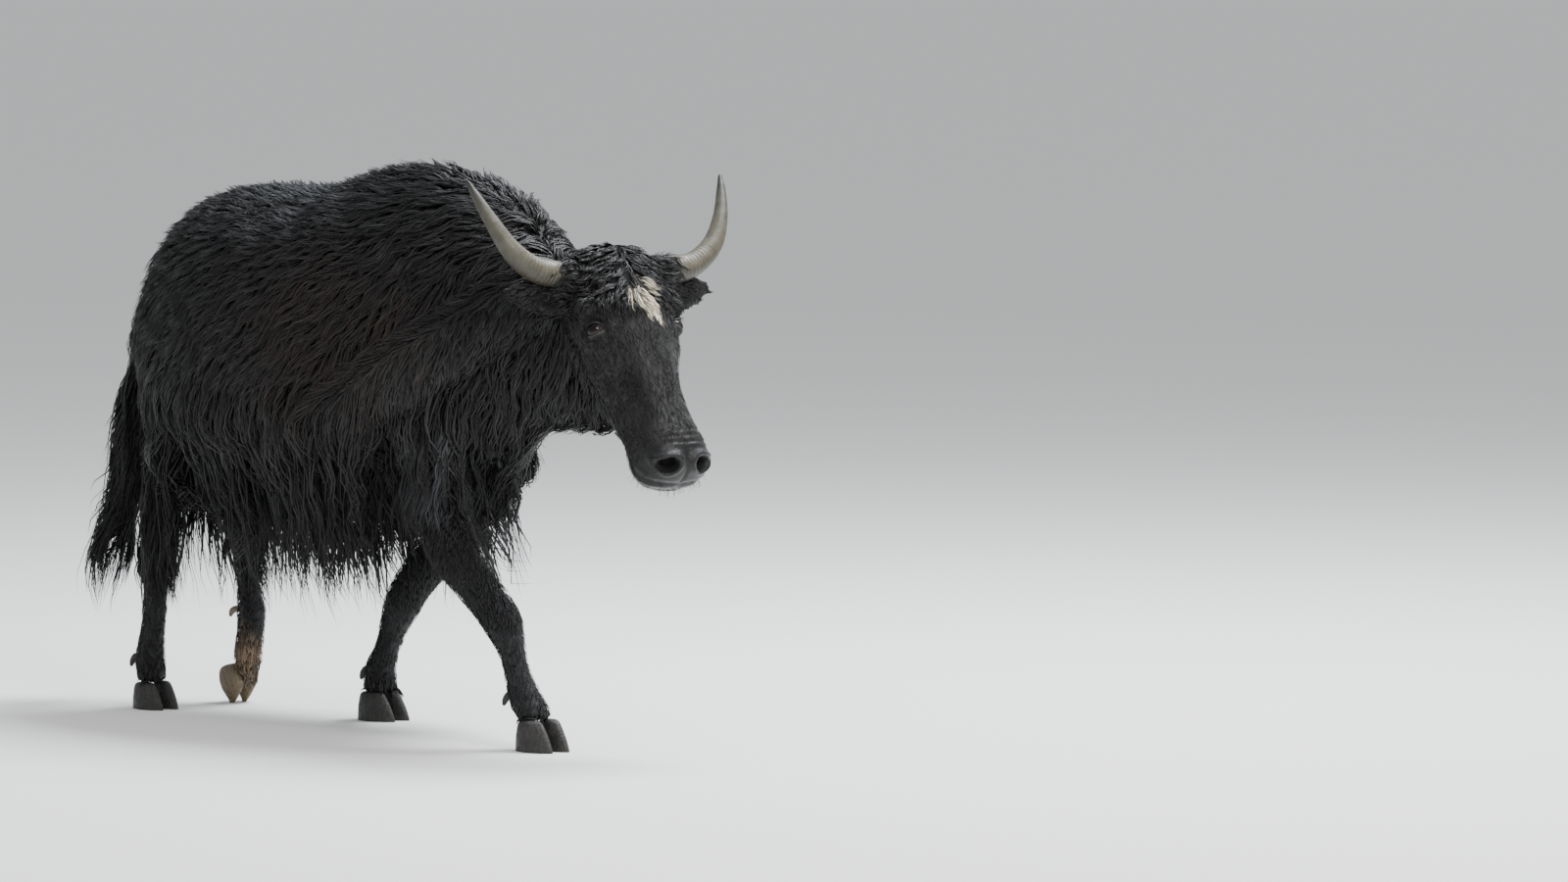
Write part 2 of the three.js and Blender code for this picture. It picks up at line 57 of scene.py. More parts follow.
def smooth(low, high, value):
    t = np.clip((value - low) / (high - low), 0.0, 1.0)
    return t * t * (3 - 2 * t)


def bump(centre, width, value):  # 1 at the centre, 0 from the width outwards
    return 1 - smooth(0.0, 1.0, np.abs(value - centre) / width)


def mix(a, b, share):
    return a + (b - a) * share


def unit(vectors):
    return vectors / np.maximum(np.linalg.norm(vectors, axis=-1, keepdims=True), 1e-9)


def ripple(points, size, seed=0.0):  # a smooth pattern of waves in space, from -1 to 1
    x, y, z = (points / size).T
    a = np.sin(1.9 * x + 1.3 * np.sin(1.1 * y + seed) + seed)
    b = np.sin(1.7 * y + 1.2 * np.sin(1.3 * z + 2 * seed) + 1.7 * seed)
    c = np.sin(1.8 * z + 1.4 * np.sin(1.2 * x + 3 * seed) + 2.3 * seed)
    return (a + b + c) / 3


# Where the animal stands and how its head is held, as the solids have it

head = {
    "poll": (0.505, 0.006, 1.030),  # top of the skull, from the floor under the withers
    "turn": math.radians(-6.5),
    "pitch": math.radians(32),
    # down the face from the poll, out of it, and to each side
    "eye": {"down": 0.167, "out": -0.038, "left": 0.095, "radius": 0.020},
    "hornRoot": {"down": 0.036, "out": -0.036},
}
headForward = np.array([math.cos(head["turn"]), math.sin(head["turn"]), 0.0])
headLeft = np.array([-math.sin(head["turn"]), math.cos(head["turn"]), 0.0])
faceOut = headForward * math.cos(head["pitch"]) + upright * math.sin(head["pitch"])
faceDown = headForward * math.sin(head["pitch"]) - upright * math.cos(head["pitch"])


def middleOf(node):
    low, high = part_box(node)
    return np.array((low + high) / 2)


eyesMiddle = np.array(head["poll"]) + faceDown * head["eye"]["down"] + faceOut * head["eye"]["out"]
withers = (middleOf("eye_left") + middleOf("eye_right")) / 2 - eyesMiddle  # the floor under the withers
withers[2] = 0.0
poll = np.array(head["poll"]) + withers


def onHead(down, out, left):
    return poll + faceDown * down + faceOut * out + headLeft * left


def toHead(points):
    away = points - poll
    return away @ faceDown, away @ faceOut, away @ headLeft


# Shader sums written as expressions

class Wire:  # what comes out of a node
    def __init__(self, finish, socket):
        self.finish = finish
        self.socket = socket

    def __add__(self, other):
        return self.finish.sum("ADD", self, other)

    def __sub__(self, other):
        return self.finish.sum("SUBTRACT", self, other)

    def __rsub__(self, other):
        return self.finish.sum("SUBTRACT", other, self)

    def __mul__(self, other):
        return self.finish.sum("MULTIPLY", self, other)

    __radd__ = __add__
    __rmul__ = __mul__


class Finish:  # one material
    def __init__(self, name, **fixed):
        self.material = bpy.data.materials.new(name)
        self.material.use_nodes = True
        self.nodes = self.material.node_tree.nodes
        self.surface = self.nodes["Principled BSDF"]
        for socket, value in fixed.items():
            self.surface.inputs[socket.replace("_", " ")].default_value = value

    def feed(self, socket, value):
        if isinstance(value, Wire):
            self.material.node_tree.links.new(value.socket, socket)
        else:
            socket.default_value = value

    def make(self, kind, settings, inputs, output=0):
        node = self.nodes.new("ShaderNode" + kind)
        stops = settings.pop("stops", None)
        for name, value in settings.items():
            setattr(node, name, value)
        if stops:
            ramp = node.color_ramp
            while len(ramp.elements) < len(stops):
                ramp.elements.new(0.5)
            for element, (place, colour) in zip(ramp.elements, stops):
                element.position = place
                element.color = (*colour, 1)
        for socket, value in inputs.items():
            self.feed(node.inputs[socket], value)
        return Wire(self, node.outputs[output])

    def sum(self, operation, a, b):
        return self.make("Math", {"operation": operation}, {0: a, 1: b})

    def place(self):
        return self.make("TexCoord", {}, {}, "Object")

    def attribute(self, name, output="Fac"):
        return self.make("Attribute", {"attribute_name": name}, {}, output)

    def stretched(self, coordinates, scale):
        return self.make("Mapping", {}, {"Vector": coordinates, "Scale": scale})

    def noise(self, coordinates, scale, detail=3.0, rough=0.55):
        inputs = {"Vector": coordinates, "Scale": scale, "Detail": detail, "Roughness": rough}
        return self.make("TexNoise", {}, inputs)

    def span(self, value, low, high, bottom=0.0, top=1.0):
        inputs = {"Value": value, "From Min": low, "From Max": high, "To Min": bottom, "To Max": top}
        return self.make("MapRange", {"interpolation_type": "SMOOTHSTEP"}, inputs)

    def blend(self, share, a, b, way="MIX"):
        settings = {"data_type": "RGBA", "blend_type": way, "clamp_factor": True}
        return self.make("Mix", settings, {0: share, 6: a, 7: b}, 2)

    def raised(self, height, distance, strength=1.0, below=None):
        inputs = {"Height": height, "Distance": distance, "Strength": strength}
        if below is not None:
            inputs["Normal"] = below
        return self.make("Bump", {}, inputs)

    def end(self, **varying):
        for socket, value in varying.items():
            self.feed(self.surface.inputs[socket.replace("_", " ")], value)
        return self.material


# Camera, floor and light

view = {
    "round": math.radians(47),  # from the animal's right side towards its front
    "above": math.radians(3.8),
    "distance": 18.2,
    "right": 0.686,  # the frame's middle is this far right of the withers, and this far above the floor
    "up": 0.612,
    "lens": 200,
    "sensor": 36,
    "farthest": 400,
}
across = np.array([math.cos(view["round"]), math.sin(view["round"]), 0.0])
level = np.array([-math.sin(view["round"]), math.cos(view["round"]), 0.0])
ahead = level * math.cos(view["above"]) - upright * math.sin(view["above"])
above = level * math.sin(view["above"]) + upright * math.cos(view["above"])


def newObject(name, data):
    made = bpy.data.objects.new(name, data)
    scene.collection.objects.link(made)
    return made


def makeCamera():
    data = bpy.data.cameras.new("camera")
    data.lens = view["lens"]
    data.sensor_width = view["sensor"]
    data.clip_end = view["farthest"]
    camera = newObject("camera", data)
    place = withers - ahead * view["distance"] + across * view["right"] + above * view["up"]
    turn = Matrix((across, above, -ahead)).transposed().to_4x4()
    camera.matrix_world = Matrix.Translation(place) @ turn
    scene.camera = camera


studio = {
    "floorRadius": 200,
    "floorColour": (0.86, 0.86, 0.84, 1),
    "floorRoughness": 0.9,
    "sky": (0.86, 0.89, 0.92, 1),
    "skyPower": 0.72,
    "aim": (-0.1, 0.0, 0.8),  # where the lamps point, from the floor under the withers
    "lampSize": 3.0,
    "lamps": {  # how far each is from the aim, its power and its colour
        "top": ((0.5, 2.5, 5.0), 900, (0.93, 0.96, 1.0)),
        "front": ((6.5, -1.5, 4.0), 420, (1.0, 0.98, 0.95)),
    },
}


def makeLamp(name, away, power, colour):
    data = bpy.data.lights.new(name, "AREA")
    data.size = studio["lampSize"]
    data.energy = power
    data.color = colour
    lamp = newObject(name, data)
    lamp.location = withers + np.array(studio["aim"]) + np.array(away)
    lamp.rotation_euler = (-Vector(away)).to_track_quat("-Z", "Y").to_euler()


def makeStudio():
    bpy.ops.mesh.primitive_circle_add(vertices=96, radius=studio["floorRadius"], fill_type="NGON")
    floor = bpy.context.object
    floor.name = "floor"
    paint = Finish("paleFloor", Base_Color=studio["floorColour"], Roughness=studio["floorRoughness"])
    floor.data.materials.append(paint.material)
    scene.world = bpy.data.worlds.new("sky")
    scene.world.use_nodes = True
    sky = scene.world.node_tree.nodes["Background"]
    sky.inputs["Color"].default_value = studio["sky"]
    sky.inputs["Strength"].default_value = studio["skyPower"]
    for name, sizes in studio["lamps"].items():
        makeLamp(name, *sizes)


makeCamera()
makeStudio()
print("camera and studio set")


# Markings of the coat, with painted sheen and highlights on its tops: the same on the skin and on each tuft

coatColoursAndSheen = {
    "black": (0.0058, 0.0054, 0.0056),
    "brown": (0.0210, 0.0125, 0.0092),
    # the next two are painted sheen and painted highlight, where the sky's light falls on the hair
    "paintedSheen": (0.0290, 0.0305, 0.0350),
    "paintedHighlight": (0.060, 0.064, 0.073),
    "cream": (0.78, 0.70, 0.55),
    "tan": (0.19, 0.132, 0.080),
    "legGrey": (0.0100, 0.0100, 0.0108),
    "faceGrey": (0.0092, 0.0087, 0.0084),
}
# The star on the forehead, in lobes: down the face, to the left, how long, how wide, and its slant
starLobes = (
    (0.100, 0.008, 0.036, 0.014, -0.30),
    (0.125, 0.022, 0.044, 0.012, 0.25),
    (0.106, -0.012, 0.016, 0.010, -0.5),
    (0.146, 0.030, 0.036, 0.008, 0.22),
    (0.144, 0.010, 0.028, 0.006, 0.10),
)


def starAt(points):
    down, out, left = toHead(points)
    star = np.zeros(len(points))
    for middle, side, long, wide, slant in starLobes:
        along = (down - middle) / long
        beside = (left - side - slant * (down - middle)) / wide
        star = np.maximum(star, 1 - smooth(0.75, 1.1, np.hypot(along, beside)))
    return star * smooth(-0.05, -0.03, out)


def markingAt(points, normals):
    x, y, z = (points - withers).T
    colour = np.tile(coatColoursAndSheen["black"], (len(points), 1))

    def paint(name, share):
        colour[:] = mix(colour, np.array(coatColoursAndSheen[name]), share[:, None])

    side = smooth(0.1, 0.7, np.abs(normals[:, 1]))
    patchy = 0.75 + 0.35 * ripple(points, 0.07, 1.0)
    paint("brown", bump(-0.10, 0.45, x) * bump(0.86, 0.26, z) * side * patchy)
    # painted sheen: the upward-facing tops of the back are lighter and bluer
    paint("paintedSheen", smooth(0.35, 0.85, normals[:, 2]) * bump(-0.42, 0.5, x) * smooth(0.98, 1.08, z) * patchy)
    sheen = np.clip(0.30 + 0.9 * ripple(points, 0.035, 6.0), 0, 1)
    # painted highlights in patches on the top of the back, on the crest of the neck and on the shoulder's
    # locks
    paint("paintedHighlight", smooth(0.45, 0.90, normals[:, 2]) * bump(-0.34, 0.42, x) * smooth(0.98, 1.06, z) * sheen)
    crest = smooth(0.5, 0.95, normals[:, 2]) * bump(0.12, 0.20, x) * smooth(1.02, 1.10, z)
    paint("paintedHighlight", crest * sheen * 0.5)
    paint("paintedHighlight", bump(0.13, 0.15, x) * bump(0.62, 0.24, z) * side * sheen * 0.75)
    paint("legGrey", 1 - smooth(0.30, 0.45, z))
    down, out, left = toHead(points)
    paint("faceGrey", smooth(0.10, 0.22, down) * smooth(-0.20, -0.10, out) * smooth(0.35, 0.42, x))
    farFoot = smooth(0.04, 0.07, y) * smooth(-0.60, -0.68, x)
    paint("tan", farFoot * (1 - smooth(0.10, 0.19, z + 0.02 * ripple(points, 0.02))) * 0.85)
    paint("cream", starAt(points))
    return colour


# The skin: the solids of flesh joined, drawn in by the depth of the coat, then refined

coatDepth = {  # how deep the coat is over each part; the head's is worked out by place
    "trunk": 0.030,
    "neck": 0.032,
    "muzzle": 0.0015,
    "ear": 0.0035,
    "tail": 0.020,
    "upper": 0.020,
    "lower": 0.0045,
}
skinPlan = {
    "voxel": 0.0105,
    "overlap": 0.0015,  # each solid is grown by this, so that neighbours join
    "bellyTop": 0.64,  # below this height the trunk's outline is mostly hanging hair
    "bellyLift": 0.52,
    "socket": {"down": 0.167, "out": -0.046, "left": 0.082, "radius": 0.026},  # fills the eyes' sockets
    "hornFlesh": {"reach": (0.04, 0.08, 0.115, 0.140), "radii": (0.037, 0.037, 0.0345, 0.0315), "sides": 20},
}
feet = [(leg, side) for leg in ("foreleg", "hindleg") for side in ("right", "left")]
fleshNodes = {
    "head": ("head",),
    "muzzle": ("muzzle",),
    "neck": ("neck",),
    "trunk": ("trunk",),
    "ear": ("ear_right", "ear_left"),
    "tail": ("tail_dock",),
    "upper": tuple(f"{leg}_{side}_upper" for leg, side in feet),
    "lower": tuple(f"{leg}_{side}_lower" for leg, side in feet),
}
parts = list(fleshNodes)


def read(items, field, width, kind=np.float32):  # a row of numbers for each item of a mesh
    values = np.empty(len(items) * width, kind)
    items.foreach_get(field, values)
    return values.reshape(-1, width)


def pointsOf(mesh):
    return read(mesh.vertices, "co", 3).astype(float)


def vertexNormals(mesh):
    return read(mesh.vertex_normals, "vector", 3).astype(float)


def edgesOf(mesh):
    return read(mesh.edges, "vertices", 2, np.int32)


def facesOf(mesh, sides):
    return read(mesh.loops, "vertex_index", 1, np.int32).reshape(-1, sides)


def attach(mesh, name, values, kind="FLOAT", on="POINT"):
    field = {"FLOAT": "value", "FLOAT_VECTOR": "vector", "FLOAT_COLOR": "color"}[kind]
    data = mesh.attributes.new(name, kind, on).data
    data.foreach_set(field, np.asarray(values, np.float32).ravel())


def readOff(mesh, *names):  # the sum of some attributes at each point
    return sum(read(mesh.attributes[name].data, "value", 1)[:, 0].astype(float) for name in names)


def solidOf(node):  # the points and triangles of a node, with its doubles merged
    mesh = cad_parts[node].data
    merged, index = np.unique(np.round(read(mesh.vertices, "co", 3), 6), axis=0, return_inverse=True)
    return merged.astype(float), index.reshape(-1)[facesOf(mesh, 3)]


def normalsOf(points, faces):
    flat = np.cross(points[faces[:, 1]] - points[faces[:, 0]], points[faces[:, -1]] - points[faces[:, 0]])
    total = np.zeros_like(points)
    for k in range(faces.shape[1]):
        np.add.at(total, faces[:, k], flat)
    return unit(total)


def meshFrom(name, points, faces):
    faces = np.asarray(faces, np.int32)
    sides = faces.shape[1]
    mesh = bpy.data.meshes.new(name)
    mesh.vertices.add(len(points))
    mesh.vertices.foreach_set("co", np.asarray(points, np.float32).ravel())
    mesh.loops.add(faces.size)
    mesh.loops.foreach_set("vertex_index", faces.ravel())
    mesh.polygons.add(len(faces))
    mesh.polygons.foreach_set("loop_start", np.arange(0, faces.size, sides, dtype=np.int32))
    mesh.update(calc_edges=True)
    mesh.validate()
    return mesh


def meshFromBmesh(shape):
    mesh = bpy.data.meshes.new("made")
    shape.to_mesh(mesh)
    shape.free()
    return mesh


def joinSolids(name, solids):
    starts = np.cumsum([0] + [len(points) for points, triangles in solids])
    triangles = [own[1] + start for own, start in zip(solids, starts)]
    return meshFrom(name, np.concatenate([own[0] for own in solids]), np.concatenate(triangles))


def settled(rough):  # the mesh that an object's modifiers make; the object goes
    mesh = bpy.data.meshes.new_from_object(rough.evaluated_get(bpy.context.evaluated_depsgraph_get()))
    rough.modifiers.clear()
    bpy.data.objects.remove(rough)
    return mesh


def nearest(points):  # a tree that finds the nearest of some points
    finder = KDTree(len(points))
    for i, place in enumerate(points):
        finder.insert(place, i)
    finder.balance()
    return finder


def showPiece(name, mesh, material):
    piece = newObject(name, mesh)
    mesh.materials.clear()
    mesh.materials.append(material)
    mesh.polygons.foreach_set("use_smooth", np.ones(len(mesh.polygons), bool))
    return piece


def tube(path, radii, sides, flatness=1.0):  # a closed tapering tube along points
    path = np.asarray(path, float)
    tangents = unit(np.gradient(path, axis=0))
    sideways = unit(np.cross(tangents, np.array([0.0, 1.0, 0.0])))
    other = np.cross(tangents, sideways)
    angles = np.arange(sides) * 2 * math.pi / sides
    rings = [
        c + r * (np.outer(np.cos(angles), s) + flatness * np.outer(np.sin(angles), o))
        for c, r, s, o in zip(path, radii, sideways, other)
    ]
    points = np.concatenate(rings + [path[:1], path[-1:]])
    faces = []
    for i in range(sides):
        j = (i + 1) % sides
        for start in range(0, (len(path) - 1) * sides, sides):
            faces.append((start + i, start + i + sides, start + j))
            faces.append((start + j, start + i + sides, start + j + sides))
        last = (len(path) - 1) * sides
        faces.append((len(points) - 2, i, j))
        faces.append((len(points) - 1, last + j, last + i))
    return points, np.array(faces)


tailCore = {  # the tail's flesh inside its brush of hair
    "path": ((-0.948, 0, 0.930), (-0.978, -0.002, 0.820), (-1.008, -0.006, 0.690), (-1.036, -0.010, 0.560),
             (-1.052, -0.013, 0.470)),
    "radii": (0.024, 0.030, 0.040, 0.038, 0.012),
    "sides": 12,
}


def joinFlesh():
    solids, owners, ownerPlaces = [], [], []
    for part, nodes in fleshNodes.items():
        for node in nodes:
            own, triangles = solidOf(node)
            if part == "trunk":
                hanging = np.maximum(skinPlan["bellyTop"] - own[:, 2], 0)
                own[:, 2] += hanging * skinPlan["bellyLift"]
            ownerPlaces.append(np.concatenate([own, own[triangles].mean(axis=1)]))
            owners += [parts.index(part)] * len(ownerPlaces[-1])
            solids.append((own + normalsOf(own, triangles) * skinPlan["overlap"], triangles))
    core = tube(np.array(tailCore["path"]) + withers, tailCore["radii"], tailCore["sides"])
    solids.append(core)
    ownerPlaces.append(core[0])
    owners += [parts.index("tail")] * len(core[0])
    socket, hornFlesh, root = skinPlan["socket"], skinPlan["hornFlesh"], head["hornRoot"]
    for side in (-1, 1):  # the sockets of the eyes are filled, and flesh goes a little way up the horns
        shape = bmesh.new()
        bmesh.ops.create_icosphere(shape, subdivisions=3, radius=socket["radius"])
        ball = meshFromBmesh(shape)
        place = onHead(socket["down"], socket["out"], side * socket["left"])
        solids.append((pointsOf(ball) + place, facesOf(ball, 3)))
        line = np.array([onHead(root["down"], root["out"], side * reach) for reach in hornFlesh["reach"]])
        solids.append(tube(line, hornFlesh["radii"], hornFlesh["sides"]))
    flesh = newObject("flesh", joinSolids("flesh", solids))
    remesh = flesh.modifiers.new("remesh", "REMESH")
    remesh.mode = "VOXEL"
    remesh.voxel_size = skinPlan["voxel"]
    joined = settled(flesh)
    finder = nearest(np.concatenate(ownerPlaces))
    belongs = np.array([owners[finder.find(p)[1]] for p in pointsOf(joined)])
    return joined, belongs


def relaxed(values, edges, rounds, strength=0.5, where=None):  # each value drawn to its neighbours' mean
    values = values.astype(float).copy()
    flat = values.reshape(len(values), -1)
    degree = np.bincount(edges.ravel(), minlength=len(values)).clip(1)[:, None]
    for _ in range(rounds):
        total = np.stack([
            np.bincount(edges[:, 0], weights=flat[edges[:, 1], k], minlength=len(flat))
            + np.bincount(edges[:, 1], weights=flat[edges[:, 0], k], minlength=len(flat))
            for k in range(flat.shape[1])
        ], axis=1)
        pull = strength if where is None else strength * where[:, None]
        flat[:] = mix(flat, total / degree, pull)
    return values


def refine(mesh, chosen):  # splits the faces whose corners are all chosen
    shape = bmesh.new()
    shape.from_mesh(mesh)
    shape.verts.ensure_lookup_table()
    marked = set()
    for face in shape.faces:
        if all(chosen[v.index] for v in face.verts):
            marked.update(face.edges)
    bmesh.ops.subdivide_edges(shape, edges=list(marked), cuts=1, use_grid_fill=True)
    shape.to_mesh(mesh)
    shape.free()
    mesh.update()


def unwrap(piece):
    bpy.context.view_layer.objects.active = piece
    piece.select_set(True)
    bpy.ops.object.mode_set(mode="EDIT")
    bpy.ops.mesh.select_all(action="SELECT")
    bpy.ops.uv.smart_project(angle_limit=math.radians(66), island_margin=0.002)
    bpy.ops.object.mode_set(mode="OBJECT")
    piece.select_set(False)
    piece.data.uv_layers[0].name = "OFBake"


def putPoints(mesh, points):
    mesh.vertices.foreach_set("co", points.astype(np.float32).ravel())
    mesh.update()


# Features of the face, in places on the head

eyeOpening = {
    "long": 0.0205,
    "high": 0.0130,
    "rim": 0.0026,
    "reach": 0.040,
    "slope": 0.10,  # of the slit
    "upperDrop": 0.80,  # the upper lid hangs lower than the oval
    "behindLid": 0.006,  # how far the skin is behind the eye's front, inside the slit
}


def gazeOf(side):
    return unit(headLeft * side * 0.86 + faceOut * 0.46 + upright * 0.02)


def eyeAxes(side):
    gaze = gazeOf(side)
    high = unit(-faceDown - gaze * (-faceDown @ gaze))
    long = np.cross(high, gaze)
    return gaze, long, high


def eyeMiddle(side):
    place = head["eye"]
    return onHead(place["down"], place["out"], side * place["left"])


def inEye(points, side):  # along the slit, up and outwards from the middle of the eye
    gaze, long, high = eyeAxes(side)
    away = points - eyeMiddle(side)
    return away @ long, away @ high, away @ gaze


def openEyes(points):
    radius = head["eye"]["radius"]
    for side in (-1, 1):
        u, v, w = inEye(points, side)
        near = (np.hypot(u, v) < eyeOpening["reach"]) & (w > -0.012)
        tilt = v + eyeOpening["slope"] * u
        drop = np.where(tilt > 0, eyeOpening["upperDrop"], 1.0)
        ratio = np.hypot(u / eyeOpening["long"], tilt / (eyeOpening["high"] * drop))
        ball = np.sqrt(np.maximum(radius ** 2 - u ** 2 - v ** 2, 0.0))
        crease = np.sin((ratio - 1) * 8.5) * smooth(2.4, 1.2, ratio)
        lid = ball + eyeOpening["rim"] + mix(0.0010, 0.0024, smooth(-0.004, 0.008, tilt)) * crease
        lid += 0.0015 * smooth(0.0, 0.010, tilt)
        inside = 1 - smooth(0.86, 1.02, ratio)
        around = smooth(2.6, 1.25, ratio)
        wanted = np.where(w < lid, mix(w, lid, around), mix(w, lid, around * 0.85))
        wanted = mix(wanted, ball - eyeOpening["behindLid"], inside)
        points[near] += np.outer((wanted - w)[near], gazeOf(side))
    return points


nostril = {
    "down": 0.489,
    "out": -0.032,
    "left": 0.041,
    "long": 0.0255,
    "high": 0.0175,
    "deep": 0.030,
    "slant": math.radians(28),
    "wing": 0.0075,  # how high the rim stands above the hollow, and below it
    "lowerRim": 0.0030,
}
mouth = {  # front and corner are down the face and out of it
    "front": (0.514, -0.068),
    "corner": (0.428, -0.110),
    "groove": 0.0070,
    "width": 0.0055,
    "sag": 0.006,
    "lip": 0.0030,
}
# Swellings and hollows on each side: down, out, left, half sizes each way, and height
faceForms = {
    "brow": (0.128, -0.018, 0.092, (0.034, 0.030, 0.034), 0.0070),
    "cheekRidge": (0.212, -0.050, 0.098, (0.070, 0.018, 0.040), 0.0085),
    "underCheek": (0.262, -0.082, 0.085, (0.060, 0.026, 0.040), -0.0080),
    "besideNose": (0.300, -0.030, 0.070, (0.085, 0.022, 0.040), -0.0075),
    "jaw": (0.235, -0.135, 0.088, (0.090, 0.055, 0.060), 0.0100),
    "behindNostril": (0.420, -0.050, 0.072, (0.045, 0.030, 0.040), -0.0060),
    "behindEye": (0.165, -0.105, 0.110, (0.050, 0.030, 0.050), -0.0060),
}


def inNostril(points, side):  # how far from its middle, over its edge's distance; and how high and how deep
    into = unit(-faceDown * 0.74 - faceOut * 0.52 - headLeft * side * 0.42)
    sideways = unit(headLeft * side - into * (headLeft @ into) * side)
    over = np.cross(into, sideways)
    over *= np.sign(over @ faceOut)
    long = sideways * math.cos(nostril["slant"]) - over * math.sin(nostril["slant"])
    high = np.cross(long, into)
    high *= np.sign(high @ faceOut)
    away = points - onHead(nostril["down"], nostril["out"], side * nostril["left"])
    u, v, w = away @ long, away @ high, away @ into
    bend = v - 16.0 * u * u * (u > 0) - 0.0035  # the outer end is drawn down like a comma's
    return np.hypot(u / nostril["long"], bend / nostril["high"]), v, w, into


def hill(value, width):  # a soft peak of 1 where the value is 0
    return np.exp(-(value / width) ** 2)


def shapeFace(points):
    for side in (-1, 1):
        # a hollow under a raised rim
        ratio, v, w, into = inNostril(points, side)
        near = (w > -0.035) & (w < 0.035)
        hollow = (1 - smooth(0.50, 1.0, ratio)) * nostril["deep"]
        wing = hill(ratio - 1.30, 0.26) * nostril["wing"] * smooth(-1.0, 0.8, v / 0.014)
        lower = hill(ratio - 1.25, 0.22) * nostril["lowerRim"] * smooth(0.6, -0.8, v / 0.014)
        points = points + np.outer(np.where(near, hollow - wing - lower, 0), into)
        # the mouth is a groove from under the nose back to the corner
        down, out, left = toHead(points)
        start, end = np.array(mouth["front"]), np.array(mouth["corner"])
        line = end - start
        t = np.clip(((down - start[0]) * line[0] + (out - start[1]) * line[1]) / (line @ line), 0, 1)
        sag = mouth["sag"] * np.sin(t * math.pi)
        gap = np.hypot(down - start[0] - t * line[0] - sag, out - start[1] - t * line[1])
        lateral = smooth(-0.004, 0.02, left * side)
        cut = hill(gap, mouth["width"]) * mouth["groove"] * lateral
        lip = hill(gap - 0.013, 0.008) * mouth["lip"] * lateral
        points = points + np.outer(cut - lip, unit(-headLeft * side * 0.75 - faceDown * 0.35))
        for down, out, left, sizes, height in faceForms.values():
            away = points - onHead(down, out, side * left)
            ratio = np.sqrt(sum(((away @ a) / s) ** 2 for a, s in zip((faceDown, faceOut, headLeft), sizes)))
            points = points + np.outer(height * (1 - smooth(0.0, 1.0, ratio)), headLeft * side)
    # a straight ridge down the nose, soft wrinkles above the nostrils, and a groove down the upper lip
    down, out, left = toHead(points)
    ridge = hill(np.abs(left) - 0.036, 0.016) * 0.0035 - hill(left, 0.018) * 0.0015
    ridge *= smooth(0.17, 0.26, down) * smooth(0.46, 0.41, down) * smooth(-0.05, -0.01, out)
    folds = np.sin(down * 2 * math.pi / 0.0145 + 22 * np.abs(left)) * bump(0.430, 0.042, down)
    points = points + np.outer(0.0014 * folds * smooth(-0.075, -0.02, out) + ridge, faceOut)
    lipGroove = hill(left, 0.0045) * smooth(0.478, 0.496, down) * smooth(-0.075, -0.05, out)
    pinch = hill(left, 0.015) * bump(0.476, 0.045, down) * smooth(-0.045, -0.01, out)
    return points - np.outer(0.0035 * lipGroove, faceDown) - np.outer(0.0050 * pinch, faceOut)


def wrinkleLegs(points, normals):  # folds at the pasterns
    z = points[:, 2]
    fold = np.sin(z * 2 * math.pi / 0.022 + 3 * ripple(points, 0.05)) * bump(0.085, 0.06, z)
    return points + normals * (0.0009 * fold * (1 - smooth(0.2, 0.3, z)))[:, None]


def makeSkin():
    mesh, belongs = joinFlesh()
    edges = edgesOf(mesh)
    points = pointsOf(mesh)

    def among(*names):
        return np.isin(belongs, [parts.index(name) for name in names])

    down, out, left = toHead(points)
    z = points[:, 2]
    forehead = (1 - smooth(0.06, 0.16, down)) * smooth(-0.11, -0.02, out)
    onHeadDepth = 0.0035 + 0.012 * forehead + 0.010 * smooth(-0.12, -0.19, out)
    depths = np.array([coatDepth.get(part, 0.0) for part in parts])[belongs]
    depths = np.where(among("head"), onHeadDepth, depths)
    depths = np.where(among("trunk"), depths - 0.012 * (1 - smooth(0.50, 0.58, z)), depths)
    depths = np.where(among("upper"), mix(0.006, depths, smooth(0.26, 0.46, z)), depths)
    depths = relaxed(depths, edges, 14)
    depths = mix(depths, coatDepth["muzzle"], hornRootAt(points))
    soft = relaxed(np.where(among("ear"), 0.0, 1.0), edges, 3)
    points = relaxed(points, edges, 4, 0.5, soft)
    bodyOnly = among("trunk", "neck") | (among("upper", "lower") & (z > 0.47))
    bodyOnly = relaxed(np.where(bodyOnly, 1.0, 0.0), edges, 4)
    points = relaxed(points, edges, 24, 0.5, bodyOnly)
    points -= normalsOf(points, facesOf(mesh, 4)) * depths[:, None]
    putPoints(mesh, relaxed(points, edges, 5, 0.5, bodyOnly))
    skin = showPiece("skin", mesh, bpy.data.materials.new("unset"))
    unwrap(skin)
    attach(mesh, "depth", depths)
    for part in parts:
        attach(mesh, part, relaxed(among(part).astype(float), edges, 3))
    return skin


def hornRootAt(points):
    down, out, left = toHead(points)
    return smooth(0.100, 0.118, np.abs(left)) * (1 - smooth(0.074, 0.090, down)) * smooth(-0.05, -0.02, down)


